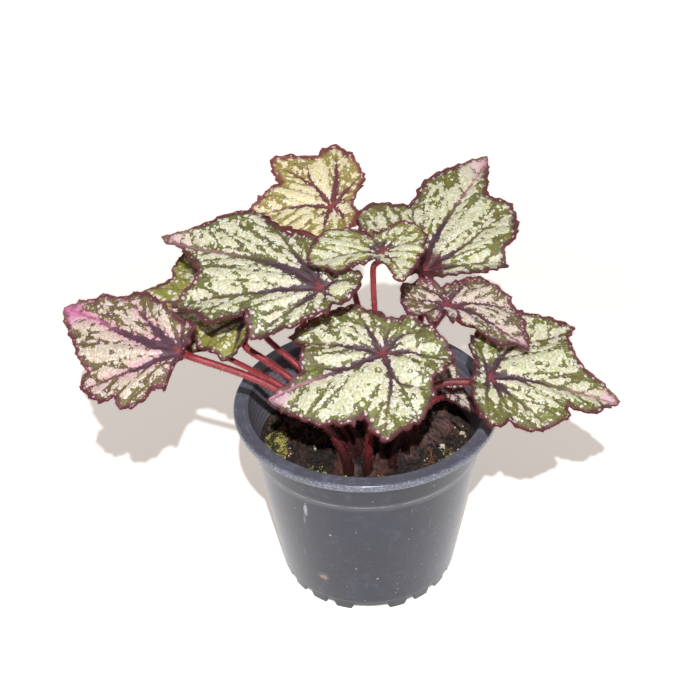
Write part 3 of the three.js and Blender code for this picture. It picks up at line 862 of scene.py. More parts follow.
def uneven_teeth(run, pitch, depths, dice, lean):
    """The height of teeth along a closed margin; lean says how far along each one its point is."""
    count = max(8, int(run[-1] / pitch))
    knots = (np.arange(count + 1) + dice.uniform(-0.32, 0.32, count + 1)) / count * run[-1]
    knots[0], knots[-1] = 0, run[-1]
    which = np.clip(np.searchsorted(knots, run, side="right") - 1, 0, count - 1)
    phase = (run - knots[which]) / (knots[which + 1] - knots[which])
    height = dice.uniform(*depths, count)[which]
    return height * np.where(phase < lean, phase / lean, (1 - phase) / (1 - lean))


def blade_margin(outline, step, dice):
    """Points along a blade's toothed margin, and the same points without the teeth."""
    tips = polar(*np.array(outline, dtype=float).T)
    before = np.roll(tips, 1, axis=0)
    after = np.roll(tips, -1, axis=0)
    arriving = tips - before
    leaving = after - tips
    cross = arriving[:, 0] * leaving[:, 1] - arriving[:, 1] * leaving[:, 0]
    turn = np.arctan2(cross, (arriving * leaving).sum(axis=1))
    sharp = np.abs(turn) > math.radians(SHARP_TURN)
    bulge = math.radians(BULGE)
    spin = np.array([[math.cos(bulge), math.sin(bulge)], [-math.sin(bulge), math.cos(bulge)]])
    points = []
    for k in range(len(tips)):
        following = (k + 1) % len(tips)
        here, there = tips[k], tips[following]
        chord = there - here
        length = np.linalg.norm(chord)
        through = there - before[k]
        onward = after[following] - here
        start = spin @ chord if sharp[k] else through / np.linalg.norm(through) * length
        end = spin.T @ chord if sharp[following] else onward / np.linalg.norm(onward) * length
        t = np.linspace(0, 1, max(3, int(round(length / step))), endpoint=False)[:, None]
        points.append(
            (2 * t**3 - 3 * t**2 + 1) * here + (t**3 - 2 * t**2 + t) * start
            + (3 * t**2 - 2 * t**3) * there + (t**3 - t**2) * end
        )
    plain = np.concatenate(points)
    tangent = unit(np.roll(plain, -1, axis=0) - np.roll(plain, 1, axis=0))
    outward = np.stack([tangent[:, 1], -tangent[:, 0]], axis=1)
    run = np.cumsum(np.linalg.norm(np.diff(plain, axis=0, append=plain[:1]), axis=1))
    size = np.abs(tips).max()
    scale = min(1.0, 0.4 + size / 90)
    lean = np.where(plain[:, 1] > 0, 0.25, 0.75)
    tooth = uneven_teeth(run, LARGE_TOOTH * scale, (0.3, 1.9), dice, lean) * scale - 0.6 * scale
    tooth += uneven_teeth(run, SMALL_TOOTH, (0.05, 0.5), dice, lean)
    # the blade's own tip has no teeth
    tooth *= smoothstep(0, 6, np.linalg.norm(plain - tips[0], axis=1))
    return plain + outward * tooth[:, None], plain


def inside_polygon(points, corners):
    inside = np.zeros(len(points), dtype=bool)
    for a, b in zip(corners, np.roll(corners, -1, axis=0)):
        if a[1] == b[1]:
            continue
        between = (a[1] > points[:, 1]) != (b[1] > points[:, 1])
        crossing = a[0] + (points[:, 1] - a[1]) / (b[1] - a[1]) * (b[0] - a[0])
        inside ^= between & (points[:, 0] < crossing)
    return inside


def to_polyline(points, line):
    """The distance from each point to a polyline, and how far along it the nearest place is."""
    best = np.full(len(points), 1e9)
    where = np.zeros(len(points))
    run = 0.0
    for a, b in zip(line, line[1:]):
        span = b - a
        length = np.linalg.norm(span)
        share = np.clip((points - a) @ span / length**2, 0, 1)
        gap = np.linalg.norm(points - a - share[:, None] * span, axis=1)
        nearer = gap < best
        best = np.where(nearer, gap, best)
        where = np.where(nearer, run + share * length, where)
        run += length
    return best, where


def to_outline(points, outline):
    """The distance from each point to a closed outline."""
    return to_polyline(points, np.concatenate([outline, outline[:1]]))[0]


class Reach:
    """How far a blade reaches in each direction from its stalk."""

    def __init__(self, margin):
        bearing = np.degrees(np.arctan2(margin[:, 1], margin[:, 0]))
        order = bearing.argsort()
        self.bearing = bearing[order]
        self.distance = np.linalg.norm(margin, axis=1)[order]

    def __call__(self, bearing):
        return np.interp(bearing, self.bearing, self.distance, period=360)


def apart(a, b):
    """The angle between two bearings in degrees."""
    return np.abs((a - b + 180) % 360 - 180)


def side_veins(angle, neighbours, line, begin, midrib, reach, dice):
    """Lines that leave a main vein to its left and right by turns and bend towards its tip."""
    length = float(reach(angle))
    shares = np.linspace(begin, 1, len(line))
    start = (0.08 + begin) * length + dice.uniform(0, 2)
    hand = dice.choice([-1, 1])
    veins = []
    while start < 0.88 * length:
        room = apart(neighbours[0] if hand < 0 else neighbours[1], angle)
        half_room = max(14.0, min(60.0, float(room) * 0.54))
        share = start / (VEIN_END * length)
        root = np.array([np.interp(share, shares, line[:, axis]) for axis in (0, 1)])
        opening = (1 - share) * min(46.0, 0.95 * half_room) + share * 50
        heading = math.radians(angle + hand * (opening + dice.uniform(-4, 4)))
        points = [root]
        for _ in range(24):
            heading -= hand * math.radians(1.2)
            step = points[-1] + 2.2 * np.array([math.cos(heading), math.sin(heading)])
            bearing = math.degrees(math.atan2(step[1], step[0]))
            if np.linalg.norm(step) > 0.96 * reach(bearing) or apart(bearing, angle) > half_room:
                break
            points.append(step)
        if len(points) > 2:
            veins.append(np.array(points))
        start += dice.uniform(4.4, 7.0) * max(0.7, min(1.2, midrib / 55))
        hand = -hand
    return veins


def blade_veins(leaf, reach, dice):
    """The main veins as (line, half width of the dark band, length), and the side veins as lines."""
    main, side = [], []
    midrib = float(reach(leaf["ribs"][0][1]))
    order = sorted(rib[1] for rib in leaf["ribs"])
    for number, (setting_out, angle, *fork) in enumerate(leaf["ribs"]):
        length = float(reach(angle))
        begin = fork[0] / length if fork else 0
        shares = np.linspace(begin, 1, 11)
        swing = smoothstep(0, 0.8, (shares - begin) / (1 - begin))
        line = polar(setting_out + (angle - setting_out) * swing, VEIN_END * length * shares)
        width = 0.032 * midrib * (1.0 if number == 0 else 0.75) * min(1.0, 0.4 + length / midrib)
        width *= leaf["bands"]
        main.append((line, width * (0.4 if fork else 1), length * (1 - begin)))
        place_in_order = order.index(angle)
        neighbours = order[place_in_order - 1], order[(place_in_order + 1) % len(order)]
        side += side_veins(angle, neighbours, line, begin, midrib, reach, dice)
    return main, side


def blade_frame(leaf):
    """Unit vectors along the blade's midrib, to its right and out of its upper side."""
    azimuth, tilt = (math.radians(angle) for angle in leaf["lean"])
    out = np.array([math.sin(tilt) * math.cos(azimuth), math.sin(tilt) * math.sin(azimuth), math.cos(tilt)])
    heading = math.radians(leaf["heading"])
    along = np.array([math.cos(heading), math.sin(heading), 0.0])
    along[2] = -(along[0] * out[0] + along[1] * out[1]) / out[2]
    along /= np.linalg.norm(along)
    return along, np.cross(along, out), out


def roll_margin(leaf, flat, lift, edge, bearing):
    """Rolls parts of the margin up, and returns the moved points and heights."""
    hub = np.linalg.norm(flat, axis=1)
    moved = flat.copy()
    for middle, half_width, depth, angle in leaf["curls"]:
        weight = smoothstep(half_width, 0.5 * half_width, apart(np.degrees(bearing), middle))
        excess = np.maximum(depth - edge, 0) * (weight > 0)
        bend = np.maximum(math.radians(angle) * weight, 1e-3)
        radius = depth / bend
        kept = radius * np.sin(excess / radius)
        moved *= (1 - (excess - kept) / np.maximum(hub, 1e-6))[:, None]
        lift = lift + radius * (1 - np.cos(excess / radius))
    return moved, lift


def vertex_normals(points, triangles):
    sides = points[triangles]
    normals = np.cross(sides[:, 1] - sides[:, 0], sides[:, 2] - sides[:, 0])
    total = np.zeros_like(points)
    for corner in range(3):
        np.add.at(total, triangles[:, corner], normals)
    return total / np.maximum(np.linalg.norm(total, axis=1)[:, None], 1e-12)


def fill_blade(margin, spacing, dice):
    """Points over a blade, the margin's first, and the triangles between them, all facing up."""
    low, high = margin.min(axis=0), margin.max(axis=0)
    rows = np.arange(low[1], high[1], spacing * 0.866)  # the rows of a grid of even triangles
    grid = []
    for number, y in enumerate(rows):
        x = np.arange(low[0], high[0], spacing) + spacing / 2 * (number % 2)
        grid.append(np.column_stack([x, np.full(len(x), y)]))
    grid = np.concatenate(grid)
    grid += dice.uniform(-0.12, 0.12, grid.shape) * spacing
    grid = grid[inside_polygon(grid, margin)]
    grid = grid[to_outline(grid, margin) > 0.55 * spacing]
    grid = np.concatenate([[[0.0, 0.0]], grid[np.linalg.norm(grid, axis=1) > 0.5 * spacing]])
    loop = list(range(len(margin)))
    flat, triangles, sources = triangulate(np.concatenate([margin, grid]), [], [loop], 1)
    a, b, c = (flat[triangles[:, k]] for k in range(3))
    area = (b[:, 0] - a[:, 0]) * (c[:, 1] - a[:, 1]) - (b[:, 1] - a[:, 1]) * (c[:, 0] - a[:, 0])
    # the plane's x runs forward and its y to the right, so seen from above it is left-handed
    triangles[area > 0] = triangles[area > 0][:, ::-1]
    stands_for = {corner: point for point, corners in enumerate(sources) for corner in corners}
    return flat, triangles, np.array([stands_for[k] for k in loop])


def vein_distances(flat, main, side):
    """How far each point is from the main veins, from their dark bands and from the side veins."""
    core = np.full(len(flat), 99.0)
    band = np.full(len(flat), 99.0)
    for line, width, length in main:
        gap, run = to_polyline(flat, line)
        half = width * np.clip(1 - run / length, 0, 1) ** 1.5 + 0.05
        core = np.minimum(core, gap)
        band = np.minimum(band, gap - half)
    vein = np.full(len(flat), 20.0)
    for line in side:
        vein = np.minimum(vein, to_polyline(flat, line)[0])
    return core, band, vein


def blade_fields(leaf, number, flat, share, midrib, band):
    """What the leaf's own settings make of each point, under the names that blade_top_material reads."""
    hub = np.linalg.norm(flat, axis=1)
    dusk = (1 - smoothstep(-0.5, 2.0, band)) * (1 - smoothstep(*leaf["dusk"], share))
    overall, near_veins, at_tip = leaf["pink"]
    to_tip = np.linalg.norm(flat - polar(*leaf["outline"][0]), axis=1)
    tip = at_tip * np.exp(-((to_tip / (0.16 * leaf["outline"][0][1])) ** 2))
    to_midrib = to_polyline(flat, midrib)[0]
    plane = flat * leaf["grain"] + [200.0 * number, 0]
    fields = {key: np.full(len(flat), leaf[key]) for key in ("lime", "cover", "hollow")}
    return fields | dict(
        flat=np.column_stack([plane, np.zeros(len(flat))]),
        hub=hub,
        dusk=np.maximum(dusk, 1 - smoothstep(3, 11, hub)),
        pink=overall + near_veins * np.exp(-np.maximum(band, 0) / 3) + tip,
        tip=tip,
        midline=0.8 * min(1, at_tip) * np.exp(-((to_midrib / 0.6) ** 2)) * smoothstep(0.4, 0.7, share),
    )


def blade_relief(leaf, hub, bearing, share, core, vein, dice):
    """The dip at the stalk, the droop, panels that stand up between the veins, and a wavy margin."""
    size = np.abs(polar(*np.array(leaf["outline"], dtype=float).T)).max()
    lift = -NAVEL * np.exp(-((hub / NAVEL_RADIUS) ** 2)) - leaf["droop"] * (hub / 60) ** 2
    lift += min(1.6, 0.03 * size) * (1 - np.exp(-((core / 4.0) ** 2))) - 0.8
    lift += 0.45 * (1 - np.exp(-((vein / 1.5) ** 2)))
    waves = zip((0.9, 0.7, 0.5), (7, 11, 17), dice.uniform(0, 6.3, 4))
    wave = sum(height * np.sin(count * bearing + phase) for height, count, phase in waves)
    return lift + wave * share**3 * min(1.0, size / 50)


def margin_hairs(leaf, margin, normals, dice):
    """Short red hairs that stand out from the margin."""
    roots = np.repeat(margin, 2, axis=0)
    roots += dice.uniform(-0.3, 0.3, roots.shape)
    run = np.roll(margin, -1, axis=0) - np.roll(margin, 1, axis=0)
    outward = np.cross(unit(run), normals)
    outward *= np.sign((outward * (margin - np.array(leaf["junction"]))).sum(axis=1))[:, None]
    lean = np.repeat(outward, 2, axis=0) + dice.uniform(-0.6, 0.6, roots.shape)
    points, faces = hairs(roots, lean, dice.uniform(0.3, 1.3, len(roots)), 0.06)
    finish_piece(add_mesh("rim_hairs_" + leaf["name"], points, faces, [RIM_HAIR]), leaf["slot"])


def build_blade(leaf, number):
    """Returns where the stalk meets the blade's underside, and the direction in which the blade faces."""
    dice = np.random.default_rng(100 + number)
    toothed, plain = blade_margin(leaf["outline"], MARGIN_STEP, dice)
    flat, triangles, border = fill_blade(toothed, BLADE_STEP, dice)
    reach = Reach(plain)
    main, side = blade_veins(leaf, reach, dice)
    hub = np.linalg.norm(flat, axis=1)
    bearing = np.arctan2(flat[:, 1], flat[:, 0])
    share = hub / reach(np.degrees(bearing))
    core, band, vein = vein_distances(flat, main, side)
    edge = to_outline(flat, toothed)
    edge[border] = 0
    fields = blade_fields(leaf, number, flat, share, main[0][0], band)
    fields |= dict(core=core, band=band, vein=vein, edge=edge / leaf["rim"])

    lift = blade_relief(leaf, hub, bearing, share, core, vein, dice)
    moved, lift = roll_margin(leaf, flat, lift, edge, bearing)
    along, right, out = blade_frame(leaf)
    middle = np.array(leaf["junction"]) + np.outer(moved[:, 0], along) + np.outer(moved[:, 1], right)
    middle = middle + np.outer(lift, out)
    normals = vertex_normals(middle, triangles)
    thick = (BLADE_EDGE + (BLADE - BLADE_EDGE) * smoothstep(0, 4, edge)) / 2
    top = middle + normals * thick[:, None]
    under = middle - normals * thick[:, None]

    total = len(flat)
    onward = np.roll(border, -1)
    sides = np.stack([border, total + border, total + onward, onward], axis=1)
    faces = [np.concatenate([triangles, total + triangles[:, ::-1]]), sides]
    kinds = np.concatenate([np.zeros(len(triangles)), np.ones(len(triangles)), np.zeros(len(sides))])
    piece = add_mesh(
        "blade_" + leaf["name"] + "_skin",
        np.concatenate([top, under]),
        faces,
        [TOP[leaf["slot"]], UNDER[leaf["slot"]]],
        face_material=kinds,
        attributes={key: np.concatenate([value, value]) for key, value in fields.items()},
    )
    finish_piece(piece, leaf["slot"], "blade_" + leaf["name"])
    margin_hairs(leaf, middle[border], normals[border], dice)
    return np.array(leaf["junction"]) - out * (NAVEL + 0.8 + BLADE / 2), out


def build_stalk(leaf, number, seat, out):
    """A fleshy stalk from inside the rhizome to the blade's underside."""
    base = np.array([*leaf["base"], STALK_FOOT])
    route = [base, base + [0, 0, 9], *leaf["stalk"], seat - out * 2.5, seat + out * 0.2]
    path = smooth_path(route, STALK_RINGS)
    share = np.linspace(0, 1, len(path))
    slim = min(1.0, 0.55 + np.linalg.norm(leaf["outline"][0][1]) / 120)
    radii = slim * (2.8 - 1.2 * smoothstep(0.02, 0.3, share) + 0.3 * smoothstep(0.97, 1, share))
    points, faces = tube(path, radii, STALK_SIDES, ripple=0.02)
    turn = np.tile(np.arange(STALK_SIDES) / STALK_SIDES, len(path))
    turn = np.minimum(turn, 1 - turn) * 2
    run = np.repeat(share * 120, STALK_SIDES)
    along = np.column_stack([turn, run, np.full(len(run), 11.0 * number)])
    along = np.concatenate([along, along[:1], along[-1:]])
    # where the stalk is painted dark for the shade below the leaves
    foot = np.concatenate([np.repeat(1 - smoothstep(0.08, leaf["shaded"], share), STALK_SIDES), [1, 0]])
    name = "stalk_" + leaf["name"]
    piece = add_mesh(name + "_skin", points, faces, [STALK], attributes=dict(along=along, foot=foot))
    finish_piece(piece, "stalk", name)

    # short pale hairs all over it
    dice = np.random.default_rng(300 + number)
    picked = dice.integers(STALK_SIDES * 6, STALK_SIDES * (len(path) - 3), STALK_HAIRS)
    skin = points[picked]
    lean = skin - path[picked // STALK_SIDES] + dice.uniform(-0.7, 0.7, skin.shape)
    points, faces = hairs(skin, lean, dice.uniform(0.4, 1.4, len(skin)), 0.05)
    finish_piece(add_mesh("stalk_hairs_" + leaf["name"], points, faces, [STALK_HAIR]), "stalk")


TOP = {slot: blade_top_material(slot) for slot in LEAF_COLOURS}
UNDER = {slot: blade_under_material(slot) for slot in LEAF_COLOURS}
STALK = stalk_material()
RIM_HAIR = hair_material("rim_hair", (104, 36, 50), (158, 82, 98))
STALK_HAIR = hair_material("stalk_hair", (150, 60, 66), (216, 156, 152))

for number, special in enumerate(LEAVES):
    leaf = USUAL_LEAF | special
    seat, out = build_blade(leaf, number)
    build_stalk(leaf, number, seat, out)

# ---- the pot ----

def rim_arc(radius, z, turns):
    """Points of a rounded corner of the rim at those angles round its middle."""
    turns = [math.radians(turn) for turn in turns]
    return [(radius + RIM_CORNER * math.cos(turn), z + RIM_CORNER * math.sin(turn)) for turn in turns]


def pot_profile():
    """Radius and height of points up the wall's outside, over the rim and down the inside."""
    collar_top = POT_HEIGHT - RIM_DEPTH
    shoulder = RIM_RADIUS - RIM_CORNER
    brow = POT_HEIGHT - RIM_CORNER
    inside = inner_radius(POT_HEIGHT)
    collar = np.linspace(COLLAR_BOTTOM + 0.5, collar_top - 0.6, 8)
    profile = [(POT_FLOOR_RADIUS, FOOT_HEIGHT), (FOOT_RADIUS - 3, 0), (FOOT_RADIUS, 0)]
    profile += [(FOOT_RADIUS + 0.4, 5), (wall_radius(5.6), 5.6)]
    profile += [(wall_radius(z), z) for z in np.linspace(6.5, COLLAR_BOTTOM - 0.3, 24)]
    profile += [(wall_radius(z) + COLLAR_PROUD, z) for z in collar]
    profile += [(wall_radius(collar_top) + COLLAR_PROUD + 0.5, collar_top - 0.1), (shoulder, collar_top)]
    profile += rim_arc(shoulder, collar_top + RIM_CORNER, np.linspace(-80, 0, 4))
    profile += rim_arc(shoulder, brow, np.linspace(10, 90, 5))
    for share in (0.8, 0.6, 0.4):
        profile.append((inside + share * (shoulder - inside), POT_HEIGHT - 0.15 * math.sin(share * 3.1)))
    profile += rim_arc(inside + RIM_CORNER, brow, np.linspace(90, 170, 5))
    # fine ridges run round the inside above the soil
    for z in np.linspace(POT_HEIGHT - 2, 62, 46):
        profile.append((inner_radius(z) - 0.18 * (math.sin(z * 2.2) > 0.3), z))
    profile += [(inner_radius(z), z) for z in (40, 20, POT_FLOOR_TOP + 0.8)]
    return profile + [(inner_radius(POT_FLOOR_TOP) - 0.8, POT_FLOOR_TOP), (POT_FLOOR_RADIUS, POT_FLOOR_TOP)]


def pot_floor(turn):
    """The floor with a ring of drain holes and one in the middle: points, the holes' walls and triangles."""
    holes = [(0.0, 0.0)] + [tuple(polar(k * 360 / DRAINS, DRAIN_RING_RADIUS)) for k in range(DRAINS)]
    round_hole = polar(np.arange(28) / 28 * 360, DRAIN_RADIUS)
    loops = [polar(turn, POT_FLOOR_RADIUS)] + [round_hole + hole for hole in holes]
    starts = np.concatenate([[0], np.cumsum([len(loop) for loop in loops])])
    rings = [
        np.column_stack([first + np.arange(len(loop)), first + (np.arange(len(loop)) + 1) % len(loop)])
        for first, loop in zip(starts, loops)
    ]
    edges = [tuple(edge) for ring in rings for edge in ring.tolist()]
    plate, triangles, _ = triangulate(np.concatenate(loops), edges, [], 0)
    middle = plate[triangles].mean(axis=1)
    to_hole = np.min([np.linalg.norm(middle - hole, axis=1) for hole in holes], axis=0)
    triangles = triangles[to_hole >= DRAIN_RADIUS - 0.05]
    points = [np.column_stack([plate, np.full(len(plate), float(z))]) for z in (FOOT_HEIGHT, POT_FLOOR_TOP)]
    walls = [np.column_stack([ring, ring[:, ::-1] + len(plate)]) for ring in rings[1:]]
    both_faces = np.concatenate([triangles[:, ::-1], triangles + len(plate)])
    return np.concatenate(points), np.concatenate(walls), both_faces


def build_pot():
    profile = pot_profile()
    sides = 360
    turn = np.arange(sides) / sides * 360
    # feet: 1 over a foot, 0 over a notch; the pattern repeats every quarter turn from the front
    foot = np.zeros(sides)
    for middle in (18, 36, 54, 72):
        foot = np.maximum(foot, smoothstep(6.6, 5.4, np.abs(turn % 90 - middle)))
    points = []
    for radius, z in profile:
        height = np.full(sides, float(z))
        if z == 0:
            height = (1 - foot) * (FOOT_HEIGHT - 0.2)
        points.append(np.column_stack([polar(turn, radius), height]))
    floor_points, hole_walls, floor_faces = pot_floor(turn)
    first = len(profile) * sides
    points = np.concatenate([*points, floor_points])
    shell = ring_faces(len(profile), sides)[:, ::-1]
    bearing = (np.degrees(np.arctan2(points[:, 0], -points[:, 1])) + 180) % 360 - 180
    radius = np.hypot(points[:, 0], points[:, 1])
    wall = np.column_stack([np.radians(bearing) * wall_radius(points[:, 2]), points[:, 2], radius])
    # the inside of the wall, which the pot's material paints paler as painted light
    inner = (radius < inner_radius(points[:, 2]) + 0.5) & (points[:, 2] > 3.5)
    faces = [np.concatenate([shell, hole_walls + first]), floor_faces + first]
    pot = add_mesh("pot_shell", points, faces, [POT], attributes=dict(wall=wall, inside=inner.astype(float)))
    shape = bmesh.new()
    shape.from_mesh(pot.data)
    bmesh.ops.remove_doubles(shape, verts=shape.verts, dist=2e-6)
    bmesh.ops.recalc_face_normals(shape, faces=shape.faces)
    shape.to_mesh(pot.data)
    shape.free()
    finish_piece(pot, "pot_plastic", "pot")


POT = pot_material()
build_pot()

# ---- the soil and what lies on it ----

SOIL_CRUMBS = 2600
BARK_CHIPS = 90
FIBRES = 150
GRIT_GRAINS = 190
MOSS_TUFTS = 420
ROOT_STUBS = 12


def soil_height(x, y):
    """The soil's surface: a low dome with gentle waves."""
    share = np.hypot(x, y) / inner_radius(SOIL_EDGE)
    waves = 0.7 * np.sin(0.31 * x + 1) * np.cos(0.27 * y) + 0.4 * np.sin(0.8 * y + 0.5 * x)
    return SOIL_EDGE + SOIL_CROWN * (1 - share**4) + waves


def out_of_painted_shade(x, y):
    """0.15 where the soil's bits are painted dark for the front leaf's shade, 1 in the open."""
    return 0.15 + 0.85 * float(smoothstep(16, 36, math.hypot(x + 4, 0.9 * (y + 28))))


def scattered(dice, count, reach):
    """Points strewn evenly over the soil, as rows of x and y."""
    return polar(dice.uniform(0, 360, count), reach * np.sqrt(dice.uniform(0, 1, count)))


def soil_bed(dice, reach):
    """The root ball with its uneven top, strewn with crumbs of peat and chips of bark."""
    sides, rings = 220, 76
    angles = np.arange(sides) / sides * 360
    top = [polar(angles, reach * (1 - k / rings)) for k in range(rings + 1)]
    flat = np.concatenate([polar(angles, inner_radius(POT_FLOOR_TOP) - 1), *top])
    points = np.column_stack([flat, soil_height(*flat.T)])
    points[:, 2] += 1.1 * rough(points, 0.2) + 0.5 * rough(points, 0.9, 3)
    points[:sides, 2] = POT_FLOOR_TOP + 0.3
    bed = Heap()
    base = np.arange(1, sides - 1)
    floor_cap = np.column_stack([np.zeros(sides - 2, dtype=int), base + 1, base])
    bed.add(points, [ring_faces(rings + 2, sides), floor_cap], 0.25)
    # crumbs, chips, fibres and grit are tinted darker in the front leaf's painted shade
    for x, y in scattered(dice, SOIL_CRUMBS, reach - 1.5):
        size = 0.8 + 2.6 * dice.uniform() ** 3
        shape, triangles = crumb(dice, size, 2 if size > 1.3 else 1)
        height = soil_height(x, y) + dice.uniform(-0.1, 0.5) * size
        bed.add(shape + [x, y, height], [triangles], out_of_painted_shade(x, y) * dice.uniform(0, 0.8))
    for x, y in scattered(dice, BARK_CHIPS, reach - 4):
        shape, triangles = crumb(dice, dice.uniform(3, 6.5), 2, 0.35)
        tint = out_of_painted_shade(x, y) * dice.uniform(0.2, 1.0)
        bed.add(shape + [x, y, soil_height(x, y) + 0.8], [triangles], tint)
    peat = mottled_material("soil", (16, 12, 11), (96, 68, 50), 700, 0.9)
    bed.build("soil_bed", peat, "potting_soil", "soil", smooth=False)


def soil_fibres(dice, reach):
    threads = Heap()
    for x, y in scattered(dice, FIBRES, reach - 6):
        heading, length = dice.uniform(0, 6.28), dice.uniform(5, 17)
        run = np.linspace(0, 1, 12)
        bend = heading + dice.uniform(-2.4, 2.4) * run
        steps = np.column_stack([np.cos(bend), np.sin(bend)]) * length / len(run)
        route = np.array([x, y]) + np.cumsum(steps, axis=0)
        route *= np.minimum(1, (reach - 1) / np.hypot(*route.T))[:, None]
        height = soil_height(*route.T) + 0.7 + dice.uniform(0, 2.2) * np.sin(run * math.pi)
        thin = dice.uniform(0.08, 0.24)
        tint = out_of_painted_shade(x, y) * dice.uniform(0, 1)
        threads.add(*tube(np.column_stack([route, height]), thin * (1.1 - 0.5 * run), 5), tint)
    fibre = mottled_material("fibre", (34, 22, 16), (164, 110, 72), 500, 0.8)
    threads.build("soil_fibres", fibre, "potting_soil")


def soil_grit(dice, reach):
    grit = Heap()
    for x, y in scattered(dice, GRIT_GRAINS, reach - 2):
        size = dice.uniform(0.5, 1.5)
        shape, triangles = crumb(dice, size, 1)
        tint = out_of_painted_shade(x, y) * dice.uniform(0.3, 1)
        grit.add(shape + [x, y, soil_height(x, y) + 0.6 * size + 0.5], [triangles], tint)
    stone = mottled_material("grit", (52, 42, 32), (240, 232, 210), 900, 0.8)
    grit.build("soil_grit", stone, "potting_soil", smooth=False)


def build_soil():
    dice = np.random.default_rng(7)
    reach = inner_radius(SOIL_EDGE) - 0.3
    soil_bed(dice, reach)
    soil_fibres(dice, reach)
    soil_grit(dice, reach)


# Place, width, depth and height, as in the CAD part. The left one, which shows most, stands higher here.
MOSS_CUSHIONS = {
    "moss_left": (-42, -6, (13, 19, 7)),
    "moss_front_left": (-27, -29, (14, 12, 3)),
    "moss_front": (-1, -44, (21, 9, 3)),
    "moss_right": (37, -19, (9, 13, 3)),
    "moss_back": (12, 34, (24, 15, 3.5)),
}


def moss_tufts(moss):
    """Loose tufts in patches in front of the stalks."""
    dice = np.random.default_rng(90)
    tufts = Heap()
    for _ in range(MOSS_TUFTS):
        x, y = dice.normal(-9, 8), dice.normal(-34, 3)
        if math.hypot(x, y) > inner_radius(SOIL_EDGE) - 1.5:
            continue
        patch = field.noise(Vector((x, y, 3)) * 0.25)
        blob, sides = crumb(dice, dice.uniform(0.5, 1.5) + max(0, patch), 1, 1.0)
        height = soil_height(x, y) + 1.2 + 3 * max(0, patch) * dice.uniform()
        tufts.add(blob + [x, y, height], [sides], 0.5 + 1.2 * patch + dice.uniform(-0.3, 0.3))
    tufts.build("moss_tufts", moss, "moss")


def build_moss():
    moss = mottled_material("moss", (50, 44, 26), (200, 190, 106), 800, 0.95)
    moss_tufts(moss)
    for number, (name, (x, y, (width, depth, height))) in enumerate(MOSS_CUSHIONS.items()):
        dice = np.random.default_rng(40 + number)
        centre = np.array([x, y, soil_height(x, y)])
        size = np.array([width / 2, depth / 2, 0.55 * height])
        cushion = Heap()
        points, triangles = BALLS[5]
        bumps = 1 + 0.3 * rough(points * size + centre, 0.5)[:, None]
        cushion.add(centre + points * size * bumps * [0.85, 0.85, 1], [triangles], 0.1)
        for _ in range(int(5.5 * width * depth)):
            spot = polar(dice.uniform(0, 360), dice.uniform(0, 1.25) ** 0.75) * size[:2]
            share = min(1.0, np.linalg.norm(spot / size[:2]))
            left, near = x + spot[0], y + spot[1]
            dome = size[2] * math.sqrt(1 - share**2) * dice.uniform(0.7, 1.25)
            if np.hypot(left, near) > inner_radius(SOIL_EDGE) - 1:
                continue
            foot = [left, near, soil_height(left, near) + dome]
            patch = field.noise(Vector(foot) * 0.3) * 0.9 + 0.5
            if patch < dice.uniform(0.0, 0.6):
                continue
            blob, sides = crumb(dice, dice.uniform(0.4, 1.0) + 0.9 * max(0, patch) * dice.uniform(), 1, 1.0)
            cushion.add(blob + foot, [sides], patch - 0.15 + dice.uniform(-0.35, 0.3))
        cushion.build(name + "_cushion", moss, "moss", name)


# x, y and size
PERLITE_GRAINS = [
    (34, -12, 3.2), (44, -1, 2.6), (33, -26, 2.4), (-24, -10, 3),
    (-20, 18, 3.4), (20, 22, 2.8), (-2, 40, 2.6), (-38, 20, 3),
]


def build_perlite():
    white = mottled_material("perlite", (176, 166, 146), (240, 234, 214), 900, 0.85, 1.0)
    for number, (x, y, size) in enumerate(PERLITE_GRAINS):
        points, triangles = BALLS[5]
        pits = rough(points + number * 9, 1.6, 3)
        grain = points * (1 + 0.3 * pits - 0.25 * np.maximum(0, rough(points - number, 3.1, 2)))[:, None]
        grain = grain * [size / 2, 0.4 * size, 0.6 * size] + [x, y, soil_height(x, y) + 0.2]
        stone = Heap()
        stone.add(grain, [triangles], 0.7 + 0.4 * pits)
        name = "perlite_" + str(number + 1)
        stone.build(name + "_grain", white, "perlite", name)


# the middle and the radius of each of its lumps, from the front end to the tip
RHIZOME = [
    (-8, -26, 70, 8), (1, -24, 70, 8.5), (10, -21, 70, 8.5), (18, -15, 70, 7.5), (25, -9, 70, 7),
    (30, -2, 71, 7), (36, 7, 71, 6),
]


